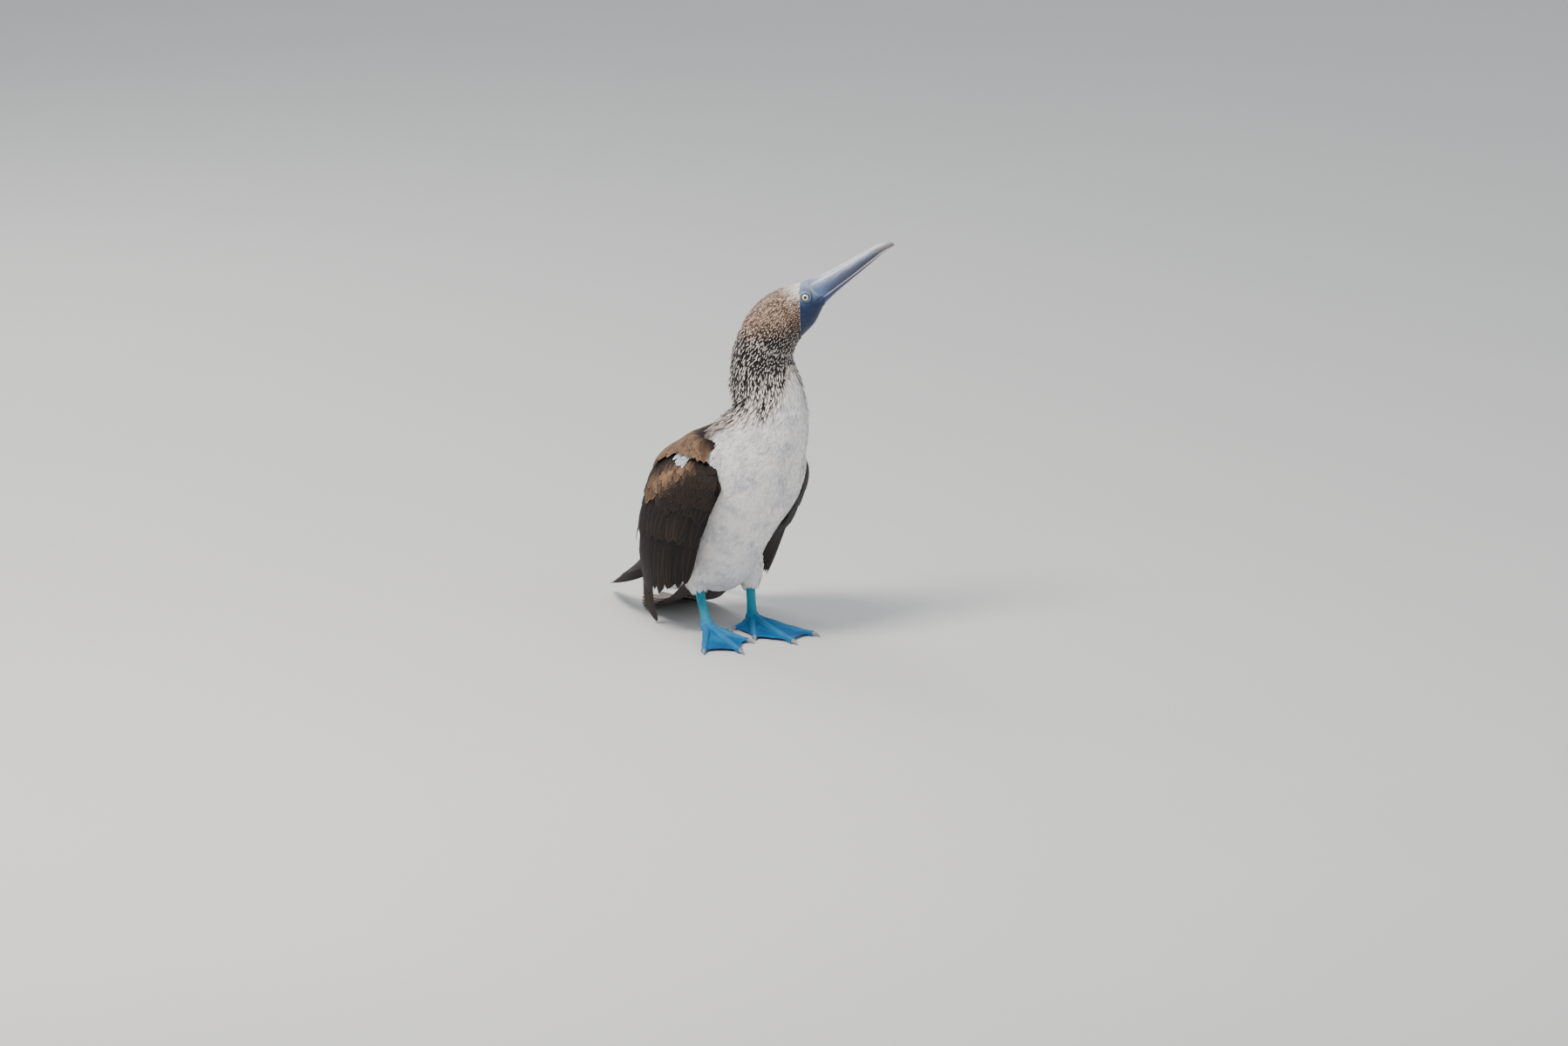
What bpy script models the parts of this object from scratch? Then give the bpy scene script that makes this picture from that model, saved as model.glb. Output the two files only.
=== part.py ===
"""Blue-footed booby standing upright with its head turned to its left.

A still, life-size museum-type model. The bird faces -Y with its left side to
+X and the floor at Z = 0. Sizes below are in millimetres and are scaled to
metres when the meshes are written.
"""

import math

import bmesh
import bpy
import numpy as np
from mathutils import Matrix, Vector

MM = 0.001
GAP = 0.30
SOLVER = "MANIFOLD"

# Body and neck stations: centre x, y, z, half width, back depth, front depth, yaw
TRUNK = (
    (0.0, 30.0, 46.0, 14.0, 14.0, 10.0, 0.0),
    (0.0, 25.0, 55.0, 30.0, 34.0, 27.0, 0.0),
    (-1.0, 13.0, 80.0, 42.0, 52.0, 42.0, 0.0),
    (-3.0, -4.0, 116.0, 47.0, 62.0, 52.0, 0.0),
    (-2.5, -24.0, 152.0, 53.5, 66.0, 60.0, 0.0),
    (0.0, -44.0, 187.0, 61.0, 60.0, 67.0, 0.0),
    (3.0, -61.0, 221.0, 57.0, 43.0, 64.0, 6.0),
    (9.0, -77.0, 249.0, 44.0, 33.5, 51.0, 14.0),
    (11.0, -79.0, 272.0, 36.0, 37.0, 40.0, 24.0),
    (8.5, -73.0, 294.0, 33.0, 37.5, 36.0, 34.0),
    (8.0, -69.5, 311.0, 31.5, 34.5, 33.5, 44.0),
    (9.5, -71.5, 328.0, 29.5, 32.0, 31.0, 52.0),
    (14.0, -76.0, 344.0, 28.0, 30.5, 30.0, 58.0),
    (20.5, -84.0, 357.5, 26.0, 30.0, 29.5, 60.0),
    (29.0, -91.0, 367.5, 23.5, 28.0, 28.5, 60.0),
    (40.0, -97.3, 376.5, 19.5, 24.0, 25.0, 60.0),
)
TRUNK_SIDES = 32
GUARD_GROW = 0.45
NECK_START = 7.0
HEAD_START = 10.6

# Bill: base and tip of its axis, then depth above and below and half width
BILL_BASE = (53.2, -104.9, 387.3)
BILL_TIP = (123.4, -146.0, 446.0)
BILL_STATIONS = (
    (0.000, 18.2, 14.6, 13.6, -3.4),
    (0.120, 15.8, 12.0, 11.6, -4.0),
    (0.260, 13.4, 10.0, 9.8, -4.2),
    (0.420, 11.3, 8.6, 8.3, -3.8),
    (0.600, 9.3, 7.1, 6.7, -3.0),
    (0.780, 7.4, 5.4, 5.0, -2.0),
    (0.900, 6.0, 3.9, 3.7, -1.5),
    (0.965, 4.2, 2.9, 2.6, -1.6),
    (1.000, 0.9, 1.9, 0.9, -1.2),
)
BILL_SIDES = 20
MOUTH_SLIT = 0.5
GAPE_LENGTH = 14.0

# Eyes
EYE_BACK = 7.9
EYE_UP = 7.0
EYE_OUT = 14.6
EYE_RADIUS = 6.0
LID_THICKNESS = 1.1
LID_OPENING = (4.5, 5.1)

# Legs and feet: x, y of the foot joint, lean of the shank, toe angles outward
FOOT_JOINTS = {"right": (-30.0, -12.0), "left": (30.0, -3.0)}
SHANK_TOPS = {"right": (-29.0, 13.0, 52.0), "left": (30.0, 4.0, 56.0)}
JOINT_HEIGHT = 17.0
THIGH_END = 47.5
THIGH_RADII = (18.0, 20.0, 14.5, 6.4)
SHANK_RADIUS = (5.6, 5.0, 5.2, 6.4)
TOES = (
    ("4", 30.0, 78.0, 3.4),
    ("3", 3.0, 86.0, 3.7),
    ("2", -25.0, 56.0, 3.2),
    ("1", -78.0, 24.0, 2.6),
)
WEB_THICKNESS = 1.1
CLAW_LENGTH = 9.0
SOLE = 0.0

# Wings: the outer surface of the right wing as rows from the shoulder down,
# each from the leading edge round the side to the middle of the back
WING_NET = (
    ((-50.0, -70.0, 209.0), (-61.0, -50.0, 214.0), (-62.0, -28.0, 217.0),
     (-52.0, -14.0, 219.0), (-36.0, -10.0, 223.0), (-14.0, -12.0, 228.0)),
    ((-57.0, -88.0, 181.0), (-75.0, -60.0, 183.0), (-83.0, -24.0, 186.0),
     (-78.0, 10.0, 191.0), (-52.0, 20.0, 202.0), (-14.0, 13.0, 213.0)),
    ((-60.0, -67.0, 141.0), (-78.0, -42.0, 140.0), (-88.0, -6.0, 141.0),
     (-87.0, 29.0, 142.0), (-58.0, 52.0, 148.0), (-16.0, 45.0, 173.0)),
    ((-60.0, -40.0, 102.0), (-77.0, -20.0, 100.0), (-88.0, 10.0, 97.0),
     (-85.0, 45.0, 93.0), (-57.0, 76.0, 98.0), (-18.0, 66.0, 132.0)),
    ((-57.0, -17.0, 62.0), (-72.0, -3.0, 55.0), (-80.0, 22.0, 50.0),
     (-74.0, 55.0, 48.0), (-48.0, 96.0, 56.0), (-16.0, 88.0, 100.0)),
)
LEFT_WING_TUCK = (6.0, 7.0, 5.0, 20.0)
CORE_END = 0.55
CORE_DEPTH = 15.0

# Feather tiers on a wing: count, first and last place across, root and tip
# places down at both ends, half width, rise above the wing's surface
TIERS = (
    (8, 0.07, 0.66, 0.47, 0.45, 0.99, 1.02, 11.0, -3.2),
    (3, 0.70, 0.88, 0.45, 0.40, 1.06, 0.98, 11.5, -2.0),
    (7, 0.08, 0.65, 0.34, 0.30, 0.66, 0.62, 11.5, -0.2),
    (5, 0.11, 0.60, 0.17, 0.14, 0.43, 0.38, 14.0, 1.2),
    (4, 0.67, 0.94, 0.14, 0.14, 0.62, 0.56, 14.0, 1.8),
)
VANE_THICKNESS = (1.3, 0.8)
VANE_CAMBER = 0.05
PRIMARY_PATHS = {
    "right": ((-66.0, 0.0, 92.0), (-69.0, 60.0, 62.0), (-60.0, 124.0, 37.0),
              (-39.0, 200.0, 11.5)),
    "left": ((-62.0, 4.0, 92.0), (-66.0, 62.0, 64.0), (-56.0, 128.0, 40.0),
             (-30.0, 206.0, 15.5)),
}
PRIMARY_COUNT = 4
DROOP_PATH = ((-70.0, 34.0, 80.0), (-71.0, 46.0, 52.0), (-67.0, 52.0, 27.0),
              (-56.0, 56.0, 3.0))

# Tail
TAIL_ROOT = (0.0, 25.0, 84.8)
TAIL_LENGTH = 190.0
TAIL_SLOPES = (68.0, 2.0)
TAIL_BEND = 1.6
TAIL_FEATHERS = 12
TAIL_OUTER = 0.66
TAIL_SPREAD = 9.0


def clear_scene():
    """Remove every object and its data."""
    for item in list(bpy.data.objects):
        bpy.data.objects.remove(item, do_unlink=True)
    for block in (bpy.data.meshes, bpy.data.curves, bpy.data.materials):
        for item in list(block):
            block.remove(item)


def spline(points, place):
    """Point of a smooth curve through the given points at a fractional index."""
    pts = [np.asarray(p, dtype=float) for p in points]
    last = len(pts) - 1
    place = min(max(place, 0.0), float(last))
    k = min(int(place), last - 1)
    f = place - k
    p1, p2 = pts[k], pts[k + 1]
    p0 = pts[k - 1] if k > 0 else 2.0 * p1 - p2
    p3 = pts[k + 2] if k + 2 <= last else 2.0 * p2 - p1
    return 0.5 * (2.0 * p1 + (p2 - p0) * f
                  + (2.0 * p0 - 5.0 * p1 + 4.0 * p2 - p3) * f * f
                  + (3.0 * p1 - p0 - 3.0 * p2 + p3) * f ** 3)


def slope(points, place, step=0.05):
    """Unit direction of the curve at a fractional index."""
    last = len(points) - 1
    ahead = spline(points, min(place + step, last))
    behind = spline(points, max(place - step, 0.0))
    way = ahead - behind
    return way / np.linalg.norm(way)


def unit(vector):
    """Vector of length one."""
    vector = np.asarray(vector, dtype=float)
    return vector / np.linalg.norm(vector)


def make_material(name, colour, roughness, metallic=0.0):
    """Principled material with a plain colour."""
    material = bpy.data.materials.new(name)
    material.use_nodes = True
    shader = material.node_tree.nodes["Principled BSDF"]
    shader.inputs["Base Color"].default_value = (*colour, 1.0)
    shader.inputs["Roughness"].default_value = roughness
    shader.inputs["Metallic"].default_value = metallic
    material.diffuse_color = (*colour, 1.0)
    return material


def make_object(name, verts, faces, material):
    """Closed mesh object from millimetre points, its faces turned outward."""
    mesh = bpy.data.meshes.new(name)
    mesh.from_pydata([[c * MM for c in v] for v in verts], [], faces)
    shell = bmesh.new()
    shell.from_mesh(mesh)
    bmesh.ops.recalc_face_normals(shell, faces=shell.faces)
    shell.to_mesh(mesh)
    shell.free()
    mesh.shade_smooth()
    item = bpy.data.objects.new(name, mesh)
    bpy.context.collection.objects.link(item)
    mesh.materials.append(material)
    return item


def bridge_rings(rings):
    """Vertices and faces of a tube through equal rings, capped at both ends."""
    count = len(rings[0])
    verts = [tuple(p) for ring in rings for p in ring]
    faces = []
    for i in range(len(rings) - 1):
        for j in range(count):
            k = (j + 1) % count
            faces.append((i * count + j, i * count + k,
                          (i + 1) * count + k, (i + 1) * count + j))
    for start in (0, (len(rings) - 1) * count):
        middle = len(verts)
        verts.append(tuple(np.mean([verts[start + j] for j in range(count)], axis=0)))
        for j in range(count):
            faces.append((start + j, start + (j + 1) % count, middle))
    return verts, faces


def trunk_frame(place):
    """Centre, axis, left and back directions of the body at a station."""
    centres = [row[:3] for row in TRUNK] + [BILL_BASE]
    centre = spline(centres, place)
    axis = slope(centres, place, 0.35)
    sizes = [row[3:] for row in TRUNK] + [(BILL_STATIONS[0][3], BILL_STATIONS[0][1],
                                          BILL_STATIONS[0][2], 60.0)]
    half, back, front, yaw = spline(sizes, place)
    if place > len(TRUNK) - 1.001:
        axis = unit(np.subtract(BILL_TIP, BILL_BASE))
    turn = math.radians(yaw)
    left = np.array((math.cos(turn), math.sin(turn), 0.0))
    left = unit(left - axis * np.dot(left, axis))
    return centre, axis, left, np.cross(axis, left), half, back, front


def trunk_rings(grow=0.0, per_station=2, sides=TRUNK_SIDES):
    """Rings of the body, neck and head, grown outward by a margin."""
    rings = []
    total = len(TRUNK) * per_station
    for i in range(total + 1):
        centre, _, left, rear, half, back, front = trunk_frame(i / per_station)
        ring = []
        for j in range(sides):
            angle = 2.0 * math.pi * j / sides
            depth = back if math.sin(angle) > 0.0 else front
            ring.append(centre + left * (half + grow) * math.cos(angle)
                        + rear * (depth + grow) * math.sin(angle))
        rings.append(ring)
    return rings


def slice_between(name, rings, material, low=None, high=None):
    """Body piece between two planes, each given as a point and a direction."""
    verts, faces = bridge_rings(rings)
    item = make_object(name, verts, faces, material)
    shell = bmesh.new()
    shell.from_mesh(item.data)
    for plane, side in ((low, -1.0), (high, 1.0)):
        if plane is None:
            continue
        point, way = plane
        way = np.asarray(way) * side
        spot = Vector(np.asarray(point) * MM) - Vector(way) * (0.5 * GAP * MM)
        cut = bmesh.ops.bisect_plane(
            shell, geom=shell.verts[:] + shell.edges[:] + shell.faces[:],
            plane_co=spot, plane_no=Vector(way), clear_outer=True, dist=1e-7)
        edges = [e for e in cut["geom_cut"] if isinstance(e, bmesh.types.BMEdge)]
        bmesh.ops.holes_fill(shell, edges=edges, sides=0)
    bmesh.ops.recalc_face_normals(shell, faces=shell.faces)
    shell.to_mesh(item.data)
    shell.free()
    return item


def apply_boolean(target, tools, operation, solver="EXACT"):
    """Join or cut with a collection of closed tools, then remove the tools."""
    group = bpy.data.collections.new("tools")
    bpy.context.scene.collection.children.link(group)
    for tool in tools:
        for owner in list(tool.users_collection):
            owner.objects.unlink(tool)
        group.objects.link(tool)
    change = target.modifiers.new("shape", "BOOLEAN")
    change.operand_type = "COLLECTION"
    change.collection = group
    change.operation = operation
    change.solver = solver
    depsgraph = bpy.context.evaluated_depsgraph_get()
    mesh = bpy.data.meshes.new_from_object(target.evaluated_get(depsgraph))
    target.modifiers.remove(change)
    old = target.data
    target.data = mesh
    bpy.data.meshes.remove(old)
    for tool in tools:
        bpy.data.objects.remove(tool, do_unlink=True)
    bpy.data.collections.remove(group)
    keep_largest(target)
    target.data.shade_smooth()
    return target


def keep_largest(item):
    """Keep only the closed surface with the most faces."""
    shell = bmesh.new()
    shell.from_mesh(item.data)
    seen = set()
    parts = []
    for face in shell.faces:
        if face in seen:
            continue
        part = []
        queue = [face]
        seen.add(face)
        while queue:
            current = queue.pop()
            part.append(current)
            for edge in current.edges:
                if len(edge.link_faces) != 2:
                    continue
                for other in edge.link_faces:
                    if other not in seen:
                        seen.add(other)
                        queue.append(other)
        parts.append(part)
    parts.sort(key=len)
    for part in parts[:-1]:
        bmesh.ops.delete(shell, geom=part, context="FACES")
    shell.to_mesh(item.data)
    shell.free()


def tube(path, radii, sides, flatten=1.0, phase=0.0):
    """Rings of a round tube along a path with one radius at each point."""
    rings = []
    side = None
    for i, centre in enumerate(path):
        ahead = path[min(i + 1, len(path) - 1)]
        behind = path[max(i - 1, 0)]
        axis = unit(np.subtract(ahead, behind))
        if side is None:
            side = unit(np.cross(axis, (0.0, 0.0, 1.0) if abs(axis[2]) < 0.9
                                 else (0.0, 1.0, 0.0)))
        side = unit(side - axis * np.dot(side, axis))
        upward = np.cross(side, axis)
        ring = []
        for j in range(sides):
            angle = 2.0 * math.pi * j / sides + phase
            ring.append(np.asarray(centre) + side * radii[i] * math.cos(angle)
                        + upward * radii[i] * flatten * math.sin(angle))
        rings.append(ring)
    return rings


def ball(name, centre, radius, material, segments=20, rows=12, axis=(0.0, 0.0, 1.0),
         stretch=(1.0, 1.0, 1.0)):
    """Round ball with its poles along an axis."""
    shell = bmesh.new()
    bmesh.ops.create_uvsphere(shell, u_segments=segments, v_segments=rows,
                              radius=radius * MM)
    turn = Vector((0.0, 0.0, 1.0)).rotation_difference(Vector(axis)).to_matrix()
    scale = Matrix.Diagonal(Vector(stretch))
    place = Matrix.Translation(Vector(centre) * MM) @ (turn @ scale).to_4x4()
    shell.transform(place)
    mesh = bpy.data.meshes.new(name)
    shell.to_mesh(mesh)
    shell.free()
    mesh.shade_smooth()
    mesh.materials.append(material)
    item = bpy.data.objects.new(name, mesh)
    bpy.context.collection.objects.link(item)
    return item


def bill_axes():
    """Bill axis, its left side and its upper side."""
    along = unit(np.subtract(BILL_TIP, BILL_BASE))
    turn = math.radians(60.0)
    left = np.array((math.cos(turn), math.sin(turn), 0.0))
    left = unit(left - along * np.dot(left, along))
    return along, left, np.cross(along, left) * 1.0


def bill_half(name, upper, material):
    """Upper or lower half of the bill, flat along the line of the mouth."""
    along, left, rear = bill_axes()
    length = float(np.linalg.norm(np.subtract(BILL_TIP, BILL_BASE)))
    rings = []
    count = 10
    for i in range(count + 1):
        place = (len(BILL_STATIONS) - 1) * i / count
        run, top, bottom, half, mouth = spline(BILL_STATIONS, place)
        centre = np.asarray(BILL_BASE) + along * (GAP + run * (length - GAP))
        droop = 3.0 * max(0.0, (run - 0.80) / 0.20) ** 2
        centre = centre - rear * droop
        ring = []
        arc = BILL_SIDES // 2
        edge = mouth + (0.5 * MOUTH_SLIT if upper else -0.5 * MOUTH_SLIT)
        reach = (top - edge) if upper else (edge + bottom)
        reach = max(reach, 0.7)
        for j in range(arc + 1):
            angle = math.pi * j / arc
            rise = math.sin(angle) ** 0.8 * reach
            ring.append(centre + left * half * math.cos(angle)
                        + rear * (edge + (rise if upper else -rise)))
        for j in range(1, 4):
            ring.append(centre + left * half * (-1.0 + 0.5 * j) + rear * edge)
        rings.append(ring)
    verts, faces = bridge_rings(rings)
    return make_object(name, verts, faces, material)


def net_point(net, across, down):
    """Point of a smooth surface through a net of rows."""
    columns = len(net[0])
    row_points = [spline(row, across * (columns - 1)) for row in net]
    return spline(row_points, down * (len(net) - 1))


def net_normal(net, across, down, outward):
    """Unit normal of the surface on the outward side."""
    step = 0.02
    a = net_point(net, min(across + step, 1.0), down)
    b = net_point(net, max(across - step, 0.0), down)
    c = net_point(net, across, min(down + step, 1.0))
    d = net_point(net, across, max(down - step, 0.0))
    normal = unit(np.cross(a - b, c - d))
    return normal if np.dot(normal, outward) > 0.0 else -normal


def sheet(net, across_steps, down_steps, thickness, outward, span=(0.0, 1.0, 0.0, 1.0)):
    """Closed curved slab whose outer face is the net and whose depth varies."""
    outer, inner = [], []
    for i in range(down_steps + 1):
        down = span[2] + (span[3] - span[2]) * i / down_steps
        for j in range(across_steps + 1):
            across = span[0] + (span[1] - span[0]) * j / across_steps
            point = net_point(net, across, down)
            normal = net_normal(net, across, down, outward)
            outer.append(point)
            inner.append(point - normal * thickness(across, down))
    width = across_steps + 1
    size = len(outer)
    faces = []
    for i in range(down_steps):
        for j in range(across_steps):
            a, b = i * width + j, i * width + j + 1
            c, d = b + width, a + width
            faces += [(a, b, c), (a, c, d)]
            faces += [(size + a, size + c, size + b), (size + a, size + d, size + c)]
    rim = [j for j in range(width)]
    rim += [i * width + across_steps for i in range(1, down_steps + 1)]
    rim += [down_steps * width + j for j in range(across_steps - 1, -1, -1)]
    rim += [i * width for i in range(down_steps - 1, 0, -1)]
    for k, a in enumerate(rim):
        b = rim[(k + 1) % len(rim)]
        faces += [(a, size + a, size + b), (a, size + b, b)]
    return outer + inner, faces


def mirror_points(points, flip):
    """Points with X reversed when flip is set."""
    if not flip:
        return points
    return [(-p[0], p[1], p[2]) for p in points]


def thigh_piece(side, grow, material):
    """Feathered thigh, grown outward by a margin."""
    top = SHANK_TOPS[side]
    sign = -1.0 if side == "right" else 1.0
    path = [(sign * 25.0, 6.0, 96.0), (sign * 26.0, 8.0, 74.0),
            (top[0], top[1], 58.0), (top[0], top[1] - 3.0, 44.0)]
    radii = [radius + grow for radius in THIGH_RADII]
    verts, faces = bridge_rings(tube(path, radii, 20))
    thigh = make_object("thigh", verts, faces, material)
    trim_plane(thigh, (0.0, 0.0, THIGH_END - grow), (0.0, 0.0, -1.0))
    return thigh


def guard_pieces(material):
    """Copies of the body grown by the gap that its neighbours keep."""
    verts, faces = bridge_rings(trunk_rings(GUARD_GROW))
    pieces = [make_object("guard", verts, faces, material)]
    pieces += [thigh_piece(side, GUARD_GROW, material) for side in SHANK_TOPS]
    return pieces


def build_trunk(materials):
    """Torso with feathered thighs, neck and head."""
    rings = trunk_rings()
    neck_cut = trunk_frame(NECK_START)[:2]
    head_cut = trunk_frame(HEAD_START)[:2]
    torso = slice_between("torso", rings, materials["white"], high=neck_cut)
    neck = slice_between("neck", rings, materials["streaked"], low=neck_cut,
                         high=head_cut)
    head = slice_between("head", rings, materials["streaked"], low=head_cut)
    thighs = [thigh_piece(side, 0.0, materials["white"]) for side in SHANK_TOPS]
    apply_boolean(torso, thighs, "UNION")
    return torso, neck, head


def eye_place(side):
    """Centre of an eye and its outward direction."""
    along, left, rear = bill_axes()
    sign = -1.0 if side == "right" else 1.0
    centre = (np.asarray(BILL_BASE) - along * EYE_BACK + rear * EYE_UP
              + left * sign * EYE_OUT)
    return centre, left * sign


def build_eyes(head, materials):
    """Eyeballs in lidded sockets and the slit of the mouth in the head."""
    along, left, rear = bill_axes()
    lids, sockets = [], []
    for side in ("right", "left"):
        centre, outward = eye_place(side)
        lids.append(ball("lid", centre, EYE_RADIUS + LID_THICKNESS,
                         materials["face"], 16, 10, outward))
        sockets.append(ball("socket", centre, EYE_RADIUS + GAP, materials["face"],
                            16, 10, outward))
        path = [centre + outward * d for d in (2.0, 12.0)]
        ring = []
        for point in path:
            ring.append([point + along * LID_OPENING[0] * math.cos(math.tau * k / 16)
                         + rear * LID_OPENING[1] * math.sin(math.tau * k / 16)
                         for k in range(16)])
        verts, faces = bridge_rings(ring)
        sockets.append(make_object("opening", verts, faces, materials["face"]))
        ball("eye_" + side, centre, EYE_RADIUS, materials["eye"], 16, 10, outward)
    apply_boolean(head, lids, "UNION")
    corner = np.asarray(BILL_BASE) + rear * BILL_STATIONS[0][4]
    shape = []
    for run in (-GAPE_LENGTH, 6.0):
        ring = []
        for sx, sz in ((-1, -1), (1, -1), (1, 1), (-1, 1)):
            ring.append(corner + along * run + left * sx * 40.0
                        + rear * sz * 0.5 * MOUTH_SLIT)
        shape.append(ring)
    verts, faces = bridge_rings(shape)
    sockets.append(make_object("gape", verts, faces, materials["face"]))
    apply_boolean(head, sockets, "DIFFERENCE")


def toe_path(side, angle, length):
    """Centre line of a toe from the foot joint down to its tip."""
    sign = -1.0 if side == "right" else 1.0
    turn = math.radians(angle)
    way = np.array((sign * math.sin(turn), -math.cos(turn), 0.0))
    x, y = FOOT_JOINTS[side]
    points = []
    for i in range(7):
        run = i / 6.0
        drop = (1.0 - run) ** 1.6
        height = 3.1 + (JOINT_HEIGHT - 8.0) * drop
        points.append(np.array((x, y, height)) + way * length * run)
    return points, way


def build_foot(side, materials):
    """Foot with four toes, the webs that join them and the claws."""
    sign = -1.0 if side == "right" else 1.0
    pieces = []
    paths = []
    for name, angle, length, radius in TOES:
        path, way = toe_path(side, angle, length)
        paths.append(path)
        radii = []
        for i in range(len(path)):
            run = i / (len(path) - 1.0)
            knuckle = 0.16 * math.sin(math.pi * (3.0 * run + 0.4)) ** 2
            radii.append(radius * (1.18 - 0.34 * run + knuckle))
        verts, faces = bridge_rings(tube(path, radii, 8))
        pieces.append(make_object("toe", verts, faces, materials["web"]))
    outer, inner = [], []
    steps_across, steps_along = 9, 6
    count = len(paths) - 1
    for i in range(steps_along + 1):
        run = 0.10 + 0.87 * i / steps_along
        for j in range(steps_across + 1):
            place = count * j / steps_across
            k = min(int(place), count - 1)
            f = place - k
            scoop = 1.0 - (0.10 if i == steps_along else 0.09 * run) * 4.0 * f * (1.0 - f)
            a = spline(paths[k], 6.0 * run * scoop)
            b = spline(paths[k + 1], 6.0 * run * scoop)
            point = a * (1.0 - f) + b * f
            sag = 1.5 * 4.0 * f * (1.0 - f) * math.sin(math.pi * run)
            point = point - np.array((0.0, 0.0, sag))
            point[2] = max(point[2], 1.7)
            outer.append(point + np.array((0.0, 0.0, 0.5 * WEB_THICKNESS)))
            inner.append(point - np.array((0.0, 0.0, 0.5 * WEB_THICKNESS)))
    width = steps_across + 1
    size = len(outer)
    faces = []
    for i in range(steps_along):
        for j in range(steps_across):
            a, b = i * width + j, i * width + j + 1
            c, d = b + width, a + width
            faces += [(a, b, c), (a, c, d)]
            faces += [(size + a, size + c, size + b), (size + a, size + d, size + c)]
    rim = list(range(width))
    rim += [i * width + steps_across for i in range(1, steps_along + 1)]
    rim += [steps_along * width + j for j in range(steps_across - 1, -1, -1)]
    rim += [i * width for i in range(steps_along - 1, 0, -1)]
    for k, a in enumerate(rim):
        b = rim[(k + 1) % len(rim)]
        faces += [(a, size + a, size + b), (a, size + b, b)]
    pieces.append(make_object("web", outer + inner, faces, materials["web"]))
    x, y = FOOT_JOINTS[side]
    foot = ball("foot_" + side, (x, y - 1.0, JOINT_HEIGHT - 6.5), 8.2,
                materials["web"], 16, 10)
    apply_boolean(foot, pieces, "UNION")
    trim_plane(foot, (0.0, 0.0, SOLE), (0.0, 0.0, -1.0))
    for (name, angle, length, radius), path in zip(TOES, paths):
        way = unit(path[-1] - path[-2])
        size = radius * 0.62
        start = path[-1] + way * GAP
        span = CLAW_LENGTH * (0.75 if name == "1" else 1.0)
        line = [start + way * span * r + np.array((0.0, 0.0, h)) for r, h in
                ((0.0, 0.0), (0.35, 0.35), (0.7, -0.4), (1.0, -1.9))]
        radii = (size, size * 0.86, size * 0.55, size * 0.16)
        verts, faces = bridge_rings(tube(line, radii, 8))
        make_object("claw_" + side + "_" + name, verts, faces, materials["claw"])
    top = SHANK_TOPS[side]
    low = np.array((x, y, JOINT_HEIGHT - 1.0))
    high = np.array((top[0], top[1] - 2.0, THIGH_END + 4.0))
    path = [low + (high - low) * r for r in (0.0, 0.25, 0.6, 1.0)]
    verts, faces = bridge_rings(tube(path, SHANK_RADIUS[::-1], 16))
    leg = make_object("leg_" + side, verts, faces, materials["shank"])
    guard = ball("guard", (x, y - 1.0, JOINT_HEIGHT - 6.5), 8.2 + GAP,
                 materials["web"], 16, 10)
    trim_plane(leg, (x, y, JOINT_HEIGHT + 1.0), (0.0, 0.0, -1.0))
    trim_plane(leg, (x, y, THIGH_END - GAP), (0.0, 0.0, 1.0))
    verts, faces = bridge_rings(trunk_rings(GUARD_GROW))
    body = make_object("guard", verts, faces, materials["web"])
    return apply_boolean(leg, [guard, body], "DIFFERENCE")


def trim_plane(item, point, way):
    """Cut away what lies beyond a plane and close the cut."""
    shell = bmesh.new()
    shell.from_mesh(item.data)
    cut = bmesh.ops.bisect_plane(
        shell, geom=shell.verts[:] + shell.edges[:] + shell.faces[:],
        plane_co=Vector(point) * MM, plane_no=Vector(way), clear_outer=True,
        dist=1e-7)
    edges = [e for e in cut["geom_cut"] if isinstance(e, bmesh.types.BMEdge)]
    bmesh.ops.holes_fill(shell, edges=edges, sides=0)
    bmesh.ops.recalc_face_normals(shell, faces=shell.faces)
    shell.to_mesh(item.data)
    shell.free()


def vane_object(name, points, normals, halves, material, lean=0.0, ridged=False):
    """Thin feather vane along a path over a surface, with a raised shaft if ridged."""
    columns = (-1.0, 0.0, 1.0) if ridged else (-1.0, 1.0)
    verts = []
    for i, point in enumerate(points):
        ahead = points[min(i + 1, len(points) - 1)]
        behind = points[max(i - 1, 0)]
        way = unit(ahead - behind)
        side = unit(np.cross(way, normals[i]))
        rise = np.cross(side, way)
        for top in (1.0, -1.0):
            for lateral in columns[::int(top)]:
                across = lateral * halves[i]
                bow = (1.0 - abs(lateral)) * VANE_CAMBER * halves[i]
                thick = VANE_THICKNESS[0] if lateral == 0.0 else VANE_THICKNESS[1]
                lift = lean * across + bow + top * 0.5 * thick
                verts.append(point + side * across + rise * lift)
    wide = len(columns)
    ring = 2 * wide
    faces = []
    for i in range(len(points) - 1):
        a, b = ring * i, ring * (i + 1)
        for j in range(ring):
            k = (j + 1) % ring
            if wide <= j < ring - 1:
                faces += [(a + j, a + k, b + j), (a + k, b + k, b + j)]
            else:
                faces += [(a + j, a + k, b + k), (a + j, b + k, b + j)]
    for a in (0, ring * (len(points) - 1)):
        for j in range(wide - 1):
            faces += [(a + j, a + j + 1, a + ring - 1 - j),
                      (a + j + 1, a + ring - 2 - j, a + ring - 1 - j)]
    return make_object(name, verts, faces, material)


def vane_halves(count, half, blunt=0.5):
    """Half widths of a vane from its root to its rounded tip."""
    halves = []
    for i in range(count):
        run = i / (count - 1.0)
        grown = 0.55 + 0.45 * min(1.0, run / 0.35)
        ending = max(0.0, 1.0 - max(0.0, (run - blunt) / (1.0 - blunt)) ** 2.2)
        halves.append(max(half * grown * ending ** 0.6, 1.1))
    return halves


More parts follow.
